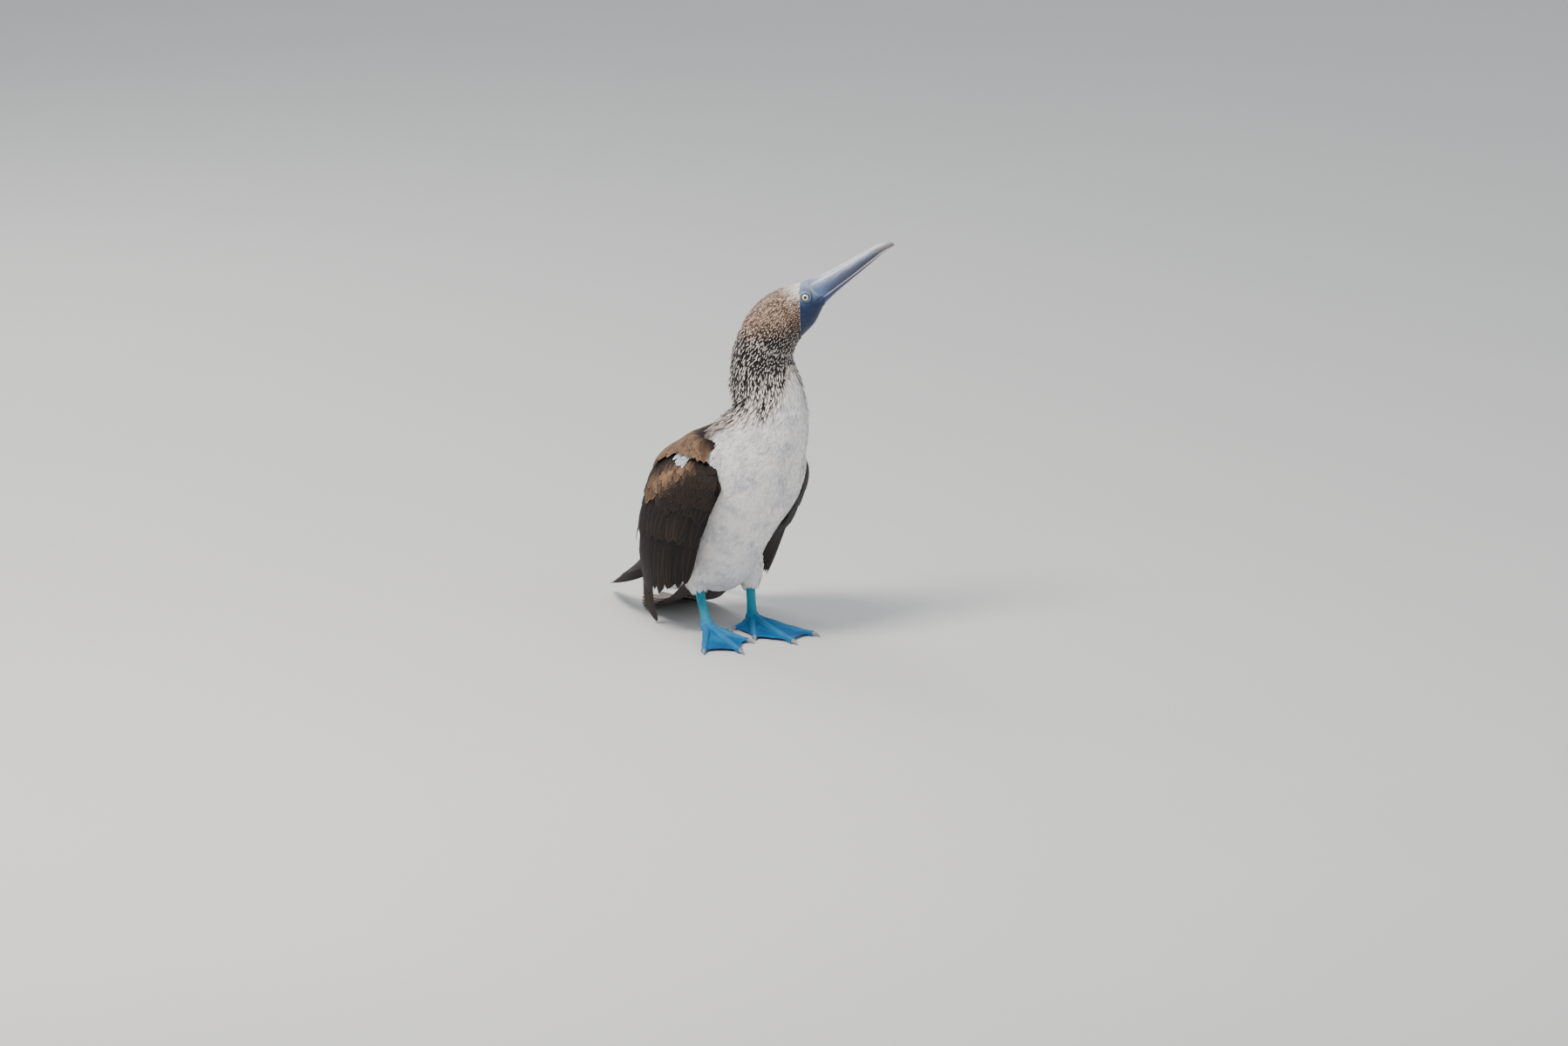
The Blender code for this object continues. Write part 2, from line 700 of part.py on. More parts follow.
def wing_net(side):
    """Outer surface of a wing in the right wing's own hand."""
    if side == "right":
        return WING_NET
    out_top, out_low, rear_top, rear_low = LEFT_WING_TUCK
    rows = []
    for i, row in enumerate(WING_NET):
        down = i / (len(WING_NET) - 1.0)
        new_row = []
        for j, (x, y, z) in enumerate(row):
            share = 1.0 - j / (len(row) - 1.0)
            new_row.append((x + share * (out_top + out_low * down ** 2),
                            y + share * (rear_top + rear_low * down ** 1.5), z))
        rows.append(tuple(new_row))
    return tuple(rows)


def wing_depth(across, down):
    """Depth of the wing's core from its outer face inward."""
    left = max(0.0, 1.0 - down / CORE_END)
    edge = 0.6 + 0.4 * math.sin(math.pi * min(max(across, 0.0), 1.0))
    return 3.4 + CORE_DEPTH * left ** 0.6 * edge


def tier_vanes(net, tier, flip, material, stations=5):
    """Vanes of one tier of a wing, laid side by side over its surface."""
    count, first, last, root_a, root_b, tip_a, tip_b, half, rise = tier
    vanes = []
    for k in range(count):
        share = k / (count - 1.0)
        across = first + (last - first) * share
        root = root_a + (root_b - root_a) * share
        tip = tip_a + (tip_b - tip_a) * share + 0.016 * math.sin(2.3 * k + count)
        points, normals = [], []
        for i in range(stations):
            run = i / (stations - 1.0)
            down = root + (tip - root) * run
            sway = across + 0.012 * math.sin(1.7 * k) * run
            over = max(0.0, down - 1.0)
            base = net_point(net, sway, min(down, 1.0))
            if over > 0.0:
                base = base + (base - net_point(net, sway, 0.95)) * over / 0.05
            normal = net_normal(net, sway, min(down, 0.98), (-1.0, 0.1, 0.3))
            lift = rise - 3.0 * (1.0 - run) ** 3
            points.append(base + normal * lift)
            normals.append(normal)
        points = [np.asarray(p) for p in mirror_points(points, flip)]
        normals = [np.asarray(n) for n in mirror_points(normals, flip)]
        vanes.append(vane_object("vane", points, normals, vane_halves(stations, half),
                                 material, lean=0.12 * (-1.0 if flip else 1.0)))
    return vanes


def primary_vanes(side, flip, material, stations=6):
    """Long flight feathers stacked along the wing's lower edge to its tip."""
    path = PRIMARY_PATHS[side]
    vanes = []
    for k in range(PRIMARY_COUNT):
        end = 1.0 - 0.062 * k
        points, normals = [], []
        for i in range(stations):
            run = end * i / (stations - 1.0)
            point = spline(path, 3.0 * run)
            way = slope(path, 3.0 * run)
            normal = unit(np.array((-1.0 + 0.9 * run, 0.0, 0.35 + 0.5 * run)))
            normal = unit(normal - way * np.dot(normal, way))
            sideways = np.cross(way, normal)
            shift = 3.2 * k * (1.0 - 0.25 * run)
            points.append(point + sideways * shift * (1.0 if sideways[2] > 0 else -1.0)
                          + normal * 1.55 * k)
            normals.append(normal)
        points = [np.asarray(p) for p in mirror_points(points, flip)]
        normals = [np.asarray(n) for n in mirror_points(normals, flip)]
        vanes.append(vane_object("primary", points, normals,
                                 vane_halves(stations, 11.0, 0.35), material,
                                 ridged=True))
    return vanes


def build_wing(side, materials):
    """Folded wing with its coverts, secondaries, tertials and primaries."""
    flip = side == "left"
    net = wing_net(side)
    verts, faces = sheet(net, 12, 6, wing_depth, (-1.0, 0.1, 0.3),
                         (0.0, 1.0, 0.0, CORE_END))
    wing = make_object("wing_" + side, mirror_points(verts, flip), faces,
                       materials["brown"])
    vanes = []
    for tier in TIERS:
        vanes += tier_vanes(net, tier, flip, materials["brown"])
    vanes += primary_vanes(side, flip, materials["brown"])
    if side == "right":
        points = [spline(DROOP_PATH, 3.0 * i / 5.0) for i in range(6)]
        normals = [unit(np.array((-1.0, 0.25, 0.1))) for _ in points]
        vanes.append(vane_object("vane", points, normals, vane_halves(6, 7.0),
                                 materials["brown"]))
    apply_boolean(wing, vanes, "UNION", SOLVER)
    apply_boolean(wing, guard_pieces(materials["brown"]), "DIFFERENCE")
    return wing


def tail_line(length, turn, drop, stations=7):
    """Centre line and normals of a tail feather."""
    points, normals = [], []
    steps = 24
    x, y, z = TAIL_ROOT
    z -= drop
    sway = math.radians(turn)
    for k in range(steps + 1):
        bend = (1.0 - k * length / (steps * TAIL_LENGTH)) ** TAIL_BEND
        fall = math.radians(TAIL_SLOPES[1] + (TAIL_SLOPES[0] - TAIL_SLOPES[1]) * bend)
        if k % (steps // (stations - 1)) == 0:
            points.append(np.array((x, y, z)))
            normals.append(np.array((0.0, math.sin(fall), math.cos(fall))))
        stride = length / steps
        x += stride * math.sin(sway)
        y += stride * math.cos(fall) * math.cos(sway)
        z -= stride * math.sin(fall) * math.cos(sway)
    return points, normals


def build_tail(materials):
    """Wedge-shaped tail of overlapping feathers whose tip rests on the floor."""
    root = ball("tail", (0.0, TAIL_ROOT[1] + 8.0, TAIL_ROOT[2] - 10.0), 22.0,
                materials["brown"], 16, 10, (0.0, 0.7, -0.7), (1.0, 0.5, 1.25))
    vanes = []
    pairs = TAIL_FEATHERS // 2
    for k in range(pairs):
        share = (k + 0.5) / pairs
        length = TAIL_LENGTH * (1.0 - (1.0 - TAIL_OUTER) * share ** 1.1)
        for sign in (-1.0, 1.0):
            drop = 1.35 * (2 * k + (0.5 + 0.5 * sign)) * 0.6 + 0.35
            points, normals = tail_line(length, sign * (1.4 + TAIL_SPREAD * share),
                                        drop)
            start = sign * (1.0 + 13.0 * share)
            points = [p + np.array((start, 0.0, 0.0)) for p in points]
            vanes.append(vane_object("vane", points, normals,
                                     vane_halves(len(points), 10.5, 0.45),
                                     materials["brown"]))
    apply_boolean(root, vanes, "UNION", SOLVER)
    apply_boolean(root, guard_pieces(materials["brown"]), "DIFFERENCE")
    trim_plane(root, (0.0, 0.0, SOLE), (0.0, 0.0, -1.0))
    return root


def centre_on_floor():
    """Shift the bird so that the middle of its box is above the origin."""
    low = np.full(3, 1e9)
    high = np.full(3, -1e9)
    for item in bpy.data.objects:
        for vertex in item.data.vertices:
            low = np.minimum(low, vertex.co)
            high = np.maximum(high, vertex.co)
    shift = Matrix.Translation((-0.5 * (low[0] + high[0]), -0.5 * (low[1] + high[1]),
                                -low[2]))
    for item in bpy.data.objects:
        item.data.transform(shift)


def main():
    """Build every node."""
    clear_scene()
    materials = {
        "white": make_material("breast_white", (0.86, 0.84, 0.80), 0.85),
        "streaked": make_material("streaked_buff", (0.52, 0.42, 0.36), 0.85),
        "brown": make_material("wing_brown", (0.07, 0.05, 0.045), 0.75),
        "face": make_material("face_slate", (0.05, 0.08, 0.15), 0.6),
        "bill": make_material("bill_blue_grey", (0.28, 0.33, 0.42), 0.4),
        "eye": make_material("eye_pale_yellow", (0.75, 0.70, 0.45), 0.1),
        "web": make_material("web_blue", (0.01, 0.24, 0.55), 0.5),
        "shank": make_material("shank_teal", (0.02, 0.33, 0.42), 0.5),
        "claw": make_material("claw_horn", (0.45, 0.46, 0.48), 0.4),
    }
    _, _, head = build_trunk(materials)
    build_eyes(head, materials)
    bill_half("bill_upper", True, materials["bill"])
    bill_half("bill_lower", False, materials["bill"])
    for side in ("right", "left"):
        build_foot(side, materials)
        build_wing(side, materials)
    build_tail(materials)
    centre_on_floor()


main()
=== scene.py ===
"""Looks of a life-size model of a blue-footed booby that stands with its bill raised.

The skin, coat, wings, tail, bill, eyes, legs and feet are built from the same named
sizes as the solids, in millimetres in the bird's own frame: the origin on the floor
midway between the ankles, X to the bird's left, -Y forward and Z up.
"""

import logging
import math
from dataclasses import dataclass, field, fields
from enum import Enum
from typing import Any, Callable, Iterable, Sequence

import bpy
import numpy as np
from mathutils import Matrix, Vector


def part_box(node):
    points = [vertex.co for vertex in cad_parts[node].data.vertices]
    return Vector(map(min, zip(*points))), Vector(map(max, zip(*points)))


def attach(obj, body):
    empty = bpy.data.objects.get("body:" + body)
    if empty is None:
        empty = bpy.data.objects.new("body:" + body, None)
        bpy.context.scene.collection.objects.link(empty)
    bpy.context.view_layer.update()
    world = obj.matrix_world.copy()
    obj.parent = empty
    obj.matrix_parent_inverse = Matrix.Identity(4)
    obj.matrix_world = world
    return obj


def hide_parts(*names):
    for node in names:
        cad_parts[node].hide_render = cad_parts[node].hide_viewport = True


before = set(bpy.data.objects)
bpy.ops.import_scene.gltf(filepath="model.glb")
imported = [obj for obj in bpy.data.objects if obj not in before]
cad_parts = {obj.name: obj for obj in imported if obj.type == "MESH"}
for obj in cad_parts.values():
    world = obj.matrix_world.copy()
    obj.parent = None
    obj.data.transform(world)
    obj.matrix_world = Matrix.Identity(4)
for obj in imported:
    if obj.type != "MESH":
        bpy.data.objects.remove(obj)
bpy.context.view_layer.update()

LOG = logging.getLogger("booby")
MM = 0.001
PER_METRE = 1000.0

# x, y, z, half width, back depth, front depth, yaw; the last ring joins BILL_BASE
TRUNK = (
    (0, 30, 46, 14, 14, 10, 0), (0, 25, 55, 30, 34, 27, 0), (-1, 13, 80, 42, 52, 42, 0),
    (-3, -4, 116, 47, 62, 52, 0), (-2.5, -24, 152, 53.5, 66, 60, 0),
    (0, -44, 187, 61, 60, 67, 0), (3, -61, 221, 57, 43, 64, 6),
    (9, -77, 249, 44, 33.5, 51, 14), (11, -79, 272, 36, 37, 40, 24),
    (8.5, -73, 294, 33, 37.5, 36, 34), (8, -69.5, 311, 31.5, 34.5, 33.5, 44),
    (9.5, -71.5, 328, 29.5, 32, 31, 52), (14, -76, 344, 28, 30.5, 30, 58),
    (20.5, -84, 357.5, 26, 30, 29.5, 60), (29, -91, 367.5, 23.5, 28, 28.5, 60),
    (40, -97.3, 376.5, 19.5, 24, 25, 60),
)
HEAD_YAW = 60.0
BILL_BASE = np.array((53.2, -104.9, 387.3))
BILL_TIP = np.array((123.4, -146.0, 446.0))
BILL_LENGTH = float(np.linalg.norm(BILL_TIP - BILL_BASE))
# run, depth above, depth below, half width, offset of the line of the mouth
BILL_STATIONS = (
    (0, 18.2, 14.6, 13.6, -3.4), (.12, 15.8, 12, 11.6, -4), (.26, 13.4, 10, 9.8, -4.2),
    (.42, 11.3, 8.6, 8.3, -3.8), (.6, 9.3, 7.1, 6.7, -3.0), (.78, 7.4, 5.4, 5, -2.0),
    (.9, 6, 3.9, 3.7, -1.5), (.965, 4.2, 2.9, 2.6, -1.6), (1, .9, 1.9, .9, -1.2),
)
# the border of the bare face: its corner over the bill's axis, its place there, its
# slopes under and over the corner, and the height where it ends on the neck
FACE_CORNER, FACE_LINE, FACE_SLOPES, FACE_FOOT = 18.0, -7.3, (0.68, 1.3), 338.0
# height where white turns to streaks, by facing from -1 in front to 1 at the back
NECK_BORDER = ((-1.0, -0.8, -0.55, 0.1, 1.0), (311.0, 276.0, 260.0, 253.0, 240.0))
EYE_BACK, EYE_UP, EYE_OUT, EYE_RADIUS = 7.9, 7.0, 14.6, 6.0
LID_OPENING = (3.9, 4.5)
FOOT_JOINTS = {"right": (-30, -12), "left": (30, -3)}
SHANK_TOPS = {"right": (-29, 13, 52), "left": (30, 4, 56)}
JOINT_HEIGHT = 17.0
THIGH_END = 47.5
THIGH_RADII, THIGH_SUNK = (18, 20, 14.5), 2.0
SHANK_RADIUS = (5.6, 5.0, 5.2, 6.4)
# name, angle, length, radius
TOES = (("4", 30, 78, 3.4), ("3", 3, 86, 3.7), ("2", -25, 56, 3.2), ("1", -78, 24, 2.6))
CLAW_LENGTH = 9.0
WING_NET = (
    ((-50, -70, 209), (-61, -50, 214), (-62, -28, 217), (-52, -14, 219),
     (-36, -10, 223), (-14, -12, 228)),
    ((-57, -88, 181), (-75, -60, 183), (-83, -24, 186), (-78, 10, 191),
     (-52, 20, 202), (-14, 13, 213)),
    ((-60, -67, 141), (-78, -42, 140), (-88, -6, 141), (-87, 29, 142),
     (-58, 52, 148), (-16, 45, 173)),
    ((-60, -40, 102), (-77, -20, 100), (-88, 10, 97), (-85, 45, 93),
     (-57, 76, 98), (-18, 66, 132)),
    ((-57, -17, 62), (-72, -3, 55), (-80, 22, 50), (-74, 55, 48),
     (-48, 96, 56), (-16, 88, 100)),
)
LEFT_WING_TUCK = (6, 7, 5, 20)
CORE_END, CORE_DEPTH = 0.55, 15.0
PRIMARY_PATHS = {
    "right": ((-66, 0, 92), (-69, 60, 62), (-60, 124, 37), (-39, 200, 11.5)),
    "left": ((-62, 4, 92), (-66, 62, 64), (-56, 128, 40), (-30, 206, 15.5)),
}
DROOP_PATH = ((-70, 34, 80), (-71, 46, 52), (-67, 52, 27), (-56, 56, 3))
TAIL_ROOT = (0, 25, 84.8)
TAIL_LENGTH, TAIL_SLOPES, TAIL_BEND = 190.0, (68.0, 2.0), 1.6
TAIL_OUTER, TAIL_SPREAD = 0.66, 9.0
VIEW_AZIMUTH, VIEW_ELEVATION, PIXEL = -28.0, 14.0, 0.946
PHOTO_SIZE, BIRD_PIXEL = (1798, 1200), (833, 722)
UNWRAP_PATCH = 0.003
MIRROR = np.array((-1.0, 1.0, 1.0))


class Side(Enum):
    """A side of the bird."""

    RIGHT = "right"
    LEFT = "left"

    @property
    def sign(self) -> float:
        """-1 on the bird's right and 1 on its left."""
        return -1.0 if self is Side.RIGHT else 1.0


def spline(points: Sequence[Sequence[float]], place: float) -> np.ndarray:
    """Point of a smooth curve through the given points, at a fractional index."""
    pts = [np.asarray(p, dtype=float) for p in points]
    last = len(pts) - 1
    place = min(max(place, 0.0), float(last))
    k = min(int(place), last - 1)
    f = place - k
    p1, p2 = pts[k], pts[k + 1]
    p0 = pts[k - 1] if k > 0 else 2.0 * p1 - p2
    p3 = pts[k + 2] if k + 2 <= last else 2.0 * p2 - p1
    return 0.5 * (2.0 * p1 + (p2 - p0) * f
                  + (2.0 * p0 - 5.0 * p1 + 4.0 * p2 - p3) * f * f
                  + (3.0 * p1 - p0 - 3.0 * p2 + p3) * f ** 3)


def sampled(points: Sequence[Sequence[float]], count: int) -> np.ndarray:
    """Points of the curve, at even steps of its fractional index."""
    last = len(points) - 1
    return np.array([spline(points, last * k / (count - 1.0)) for k in range(count)])


def slope(points: Sequence[Sequence[float]], place: float, step: float) -> np.ndarray:
    """Unit direction of the curve at a fractional index."""
    last = len(points) - 1
    return unit(spline(points, min(place + step, last))
                - spline(points, max(place - step, 0.0)))


def unit(vectors: Any) -> np.ndarray:
    """The vectors, each made of length one along the last axis."""
    vectors = np.asarray(vectors, dtype=float)
    size = np.linalg.norm(vectors, axis=-1, keepdims=True)
    return vectors / np.maximum(size, 1e-12)


def smooth(low: float, high: float, value: Any) -> np.ndarray:
    """Share from 0 at low to 1 at high, eased at both ends."""
    share = np.clip((np.asarray(value, dtype=float) - low) / (high - low), 0.0, 1.0)
    return share * share * (3.0 - 2.0 * share)


def linear(*channels: float) -> tuple[float, ...]:
    """Linear colour, with its alpha, of an sRGB colour from 0 to 255."""
    shares = [channel / 255.0 for channel in channels]
    return (*(c / 12.92 if c <= 0.04045 else ((c + 0.055) / 1.055) ** 2.4
              for c in shares), 1.0)


def bill_axes() -> tuple[np.ndarray, np.ndarray, np.ndarray]:
    """The bill's direction, its left side and its upper side."""
    along = unit(BILL_TIP - BILL_BASE)
    turn = math.radians(HEAD_YAW)
    left = np.array((math.cos(turn), math.sin(turn), 0.0))
    left = unit(left - along * np.dot(left, along))
    return along, left, np.cross(along, left)


ALONG, LEFT, UPPER = bill_axes()


def eye_centre(side: Side) -> np.ndarray:
    """Centre of an eyeball in the bird's frame."""
    return (BILL_BASE - ALONG * EYE_BACK + UPPER * EYE_UP
            + LEFT * side.sign * EYE_OUT)


def frame_shift() -> np.ndarray:
    """Offset in metres from the bird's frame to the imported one."""
    low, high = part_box("eye_right")
    middle = np.array([(a + b) / 2.0 for a, b in zip(low, high)])
    return middle - eye_centre(Side.RIGHT) * MM


SHIFT = frame_shift()


def placed(points: Any) -> np.ndarray:
    """Points in millimetres in the bird's frame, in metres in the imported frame."""
    return np.asarray(points, dtype=float) * MM + SHIFT


def face_place(points: np.ndarray) -> tuple[np.ndarray, np.ndarray]:
    """How far points lie ahead of and above the bill's base, along the bill's axes."""
    offset = np.asarray(points, dtype=float) - BILL_BASE
    return offset @ ALONG, offset @ UPPER


def bare_share(points: np.ndarray) -> np.ndarray:
    """How far points lie ahead of the line where the face's feathers end, in mm."""
    ahead, above = face_place(points)
    high = above - FACE_CORNER
    line = FACE_LINE + np.where(high < 0.0, *(high * rate for rate in FACE_SLOPES))
    return np.where(points[:, 2] < FACE_FOOT, -50.0, ahead - line)


def rings_along(path: Sequence[np.ndarray], radii: Sequence[float], sides: int,
                rings: int, hand: float = 1.0) -> np.ndarray:
    """Round rings of points along a path.

    Args:
        path: Points of the centre line.
        radii: Radii at those points.
        sides: Points in a ring.
        rings: Rings along the path.
        hand: 1 or -1, the way round that a ring runs.

    Returns:
        Rings by points by three.
    """
    last = len(path) - 1
    angle = math.tau * np.arange(sides)[:, None] / sides
    sizes = sampled([(radius,) for radius in radii], rings)
    across = np.array((1.0, 0.0, 0.0))
    made = []
    for i, centre in enumerate(sampled(path, rings)):
        way = slope(path, last * i / (rings - 1.0), 0.1)
        across = unit(across - way * np.dot(across, way))
        other = np.cross(way, across)
        made.append(centre + sizes[i, 0] * (np.cos(angle) * across
                                            + hand * np.sin(angle) * other))
    return np.array(made)


def link(name: str, data: bpy.types.ID) -> bpy.types.Object:
    """Put an object that holds this data in the scene."""
    made = bpy.data.objects.new(name, data)
    bpy.context.scene.collection.objects.link(made)
    return made


def write_layer(mesh: bpy.types.Mesh, name: str, values: Any) -> None:
    """Write three shares for every vertex, where the finishes read them."""
    layer = mesh.attributes.new(name, "FLOAT_VECTOR", "POINT")
    shares = np.array(np.broadcast_to(values, (len(mesh.vertices), 3)))
    layer.data.foreach_set("vector", shares.reshape(-1))


class Bench:
    """The operators that make and shape a piece."""

    @staticmethod
    def pick(*pieces: bpy.types.Object) -> None:
        """Select these pieces only and make the first one active."""
        bpy.ops.object.select_all(action="DESELECT")
        for piece in reversed(pieces):
            piece.select_set(True)
            bpy.context.view_layer.objects.active = piece

    @staticmethod
    def wrap(name: str, points: np.ndarray, caps: bool = True) -> bpy.types.Object:
        """Lay a grid along rings of points and close its seam and its ends.

        Args:
            name: The piece's name.
            points: Rings by points by three, in the bird's frame.
            caps: Whether both ends are filled.

        Returns:
            The piece, its faces outward.
        """
        points = np.concatenate((points, points[:, :1]), axis=1)
        rings, count = points.shape[:2]
        Bench.pick()
        bpy.ops.mesh.primitive_grid_add(x_subdivisions=count - 1,
                                        y_subdivisions=rings - 1, size=1.0)
        piece = bpy.context.object
        piece.name = piece.data.name = name
        piece.data.vertices.foreach_set("co", placed(points).reshape(-1))
        piece.data.uv_layers[0].name = "OFBake"
        bpy.ops.object.mode_set(mode="EDIT")
        bpy.ops.mesh.select_all(action="SELECT")
        bpy.ops.mesh.remove_doubles(threshold=1e-7)
        if caps:
            bpy.ops.mesh.fill_holes(sides=0)
        bpy.ops.mesh.select_all(action="SELECT")
        bpy.ops.mesh.normals_make_consistent(inside=False)
        bpy.ops.object.mode_set(mode="OBJECT")
        bpy.ops.object.shade_smooth()
        return piece

    @staticmethod
    def tube(name: str, path: Sequence[np.ndarray], radii: Sequence[float],
             sides: int, rings: int) -> bpy.types.Object:
        """Wrap a round skin along a path, as rings_along has it."""
        return Bench.wrap(name, rings_along(path, radii, sides, rings))

    @staticmethod
    def ball(name: str, centre: np.ndarray, radius: float, segments: int = 32,
             rings: int = 20) -> bpy.types.Object:
        """Add a ball whose place is set in its mesh."""
        Bench.pick()
        bpy.ops.mesh.primitive_uv_sphere_add(segments=segments, ring_count=rings,
                                             radius=radius * MM)
        piece = bpy.context.object
        piece.name = piece.data.name = name
        piece.data.transform(Matrix.Translation(Vector(placed(centre))))
        bpy.ops.object.shade_smooth()
        return piece

    @staticmethod
    def modify(piece: bpy.types.Object, kind: str, **settings: Any) -> None:
        """Add a modifier with its settings and apply it."""
        Bench.pick(piece)
        modifier = piece.modifiers.new(kind.title(), kind)
        for key, value in settings.items():
            setattr(modifier, key, value)
        bpy.ops.object.modifier_apply(modifier=modifier.name)

    @staticmethod
    def combine(piece: bpy.types.Object, others: Iterable[bpy.types.Object],
                operation: str) -> None:
        """Join other closed pieces to this one, or cut them from it."""
        for other in others:
            Bench.modify(piece, "BOOLEAN", operation=operation, object=other,
                         solver="EXACT")
            bpy.data.objects.remove(other)

    @staticmethod
    def join(name: str, pieces: Sequence[bpy.types.Object]) -> bpy.types.Object:
        """Put several pieces in one mesh."""
        Bench.pick(*pieces)
        bpy.ops.object.join()
        pieces[0].name = pieces[0].data.name = name
        return pieces[0]


class Surface:
    """A smooth sheet of points that feathers are laid on."""

    def __init__(self, points: np.ndarray, wrapped: bool,
                 outward: Sequence[float] | None = None) -> None:
        """Keep the points and work out the normals.

        Args:
            points: Points across by points along by three.
            wrapped: Whether the first direction closes on itself.
            outward: A direction on the outer side, or None where the order tells it.
        """
        self.points = points
        self.wrapped = wrapped
        across = (np.roll(points, -1, axis=0) - np.roll(points, 1, axis=0) if wrapped
                  else np.gradient(points, axis=0))
        self.normals = unit(np.cross(across, np.gradient(points, axis=1)))
        if outward is not None and np.mean(self.normals @ np.asarray(outward)) < 0.0:
            self.normals = -self.normals

    def at(self, across: np.ndarray, along: np.ndarray
           ) -> tuple[np.ndarray, np.ndarray]:
        """Points and normals at shares of the sheet, carried on past its far ends.

        Args:
            across: Shares across, from 0 to 1, or turns where the sheet is wrapped.
            along: Shares along, from 0 to 1.

        Returns:
            The points and their unit normals.
        """
        wide, long = self.points.shape[:2]
        if self.wrapped:
            x = np.mod(across, 1.0) * wide
            i = np.floor(x).astype(int) % wide
            fx = (x - np.floor(x))[..., None]
        else:
            x = across * (wide - 1)
            i = np.clip(np.floor(x).astype(int), 0, wide - 2)
            fx = (x - i)[..., None]
        k = (i + 1) % wide
        y = along * (long - 1)
        j = np.clip(np.floor(y).astype(int), 0, long - 2)
        fy = (y - j)[..., None]

        def blend(values: np.ndarray, gx: np.ndarray, gy: np.ndarray) -> np.ndarray:
            """Values between the four corners of a cell."""
            low = values[i, j] * (1.0 - gx) + values[k, j] * gx
            high = values[i, j + 1] * (1.0 - gx) + values[k, j + 1] * gx
            return low * (1.0 - gy) + high * gy

        return (blend(self.points, fx, fy),
                unit(blend(self.normals, np.clip(fx, 0.0, 1.0), np.clip(fy, 0.0, 1.0))))

    def strides(self, across: np.ndarray, along: np.ndarray
                ) -> tuple[np.ndarray, np.ndarray]:
        """Millimetres for a whole share in each direction, at these places."""
        step = 0.004
        east, west = self.at(across + step, along)[0], self.at(across - step, along)[0]
        high, low = np.minimum(along + step, 1.0), np.maximum(along - step, 0.0)
        far, near = self.at(across, high)[0], self.at(across, low)[0]
        return (np.linalg.norm(east - west, axis=-1) / (2.0 * step),
                np.linalg.norm(far - near, axis=-1) / (high - low))


@dataclass(frozen=True)
class Barb:
    """The form that all feathers of one kind share."""

    rows: int = 5
    columns: int = 3
    camber: float = 0.22
    point: float = 2.2
    round: float = 0.5
    widest: float = 0.45
    root: float = 0.5
    rise: float = 0.0
    lift: float = 1.2
    sink: float = 1.5
    lean: float = 0.0
    soft: float = 0.35

    def runs(self) -> np.ndarray:
        """Places of the rows along the feather, closer together near its tip."""
        return 1.0 - (1.0 - np.linspace(0.0, 1.0, self.rows)) ** 1.5

    def widths(self) -> np.ndarray:
        """Share of the full half width in each row, from the root to the tip."""
        run = self.runs()
        grown = self.root + (1.0 - self.root) * smooth(0.0, self.widest, run)
        past = np.clip((run - self.widest) / (1.0 - self.widest), 0.0, 1.0)
        return np.maximum(grown * (1.0 - past ** self.point) ** self.round, 0.06)


@dataclass
class Feathers:
    """Feathers of one kind as arrays: points, and what the finish reads of them."""

    points: np.ndarray
    facing: np.ndarray
    vane: np.ndarray
    mark: np.ndarray
    seat: np.ndarray

    def only(self, keep: np.ndarray) -> "Feathers":
        """The feathers that a mask keeps."""
        return Feathers(*(getattr(self, part.name)[keep] for part in fields(self)))

    def mirrored(self) -> "Feathers":
        """The feathers with X reversed, in an order that keeps them outward."""
        return Feathers(self.points[:, :, ::-1] * MIRROR,
                        self.facing[:, :, ::-1] * MIRROR,
                        self.vane[:, :, ::-1], self.mark[:, :, ::-1], self.seat)


def stacked(count: int, *parts: Any) -> np.ndarray:
    """A row of shares for each feather, from numbers or arrays."""
    return np.stack([np.broadcast_to(part, count) for part in parts], axis=-1)


def shape_feathers(centres: np.ndarray, normals: np.ndarray, halves: np.ndarray,
                   barb: Barb, marks: np.ndarray, seats: np.ndarray,
                   seeds: np.ndarray) -> Feathers:
    """Give thin, cambered vanes to rows of points.

    Args:
        centres: Feathers by rows by three, along each shaft.
        normals: The outward normal at each of those points.
        halves: Each feather's half width.
        barb: The form that they share.
        marks: Three marking shares for each feather.
        seats: Place of each root on the skin's unwrap.
        seeds: A random share for each feather.

    Returns:
        The feathers.
    """
    way = unit(np.gradient(centres, axis=1))
    side = unit(np.cross(way, normals))
    rise = np.cross(side, way)[:, :, None, :]
    side = side[:, :, None, :]
    column = np.linspace(-1.0, 1.0, barb.columns)
    width = (halves[:, None] * barb.widths())[:, :, None]
    bow = (1.0 - column ** 2) * barb.camber * width
    lean = column * barb.lean * width
    points = (centres[:, :, None, :] + side * (column * width)[..., None]
              + rise * (bow + lean)[..., None])
    own = unit(rise + side * (column * 2.0 * barb.camber)[:, None])
    facing = unit(own * (1.0 - barb.soft) + normals[:, :, None, :] * barb.soft)
    vane = np.empty(points.shape)
    vane[..., 0] = barb.runs()[:, None]
    vane[..., 1] = column
    vane[..., 2] = seeds[:, None, None]
    mark = np.broadcast_to(marks[:, None, None, :], vane.shape)
    return Feathers(points, facing, vane, mark, seats)


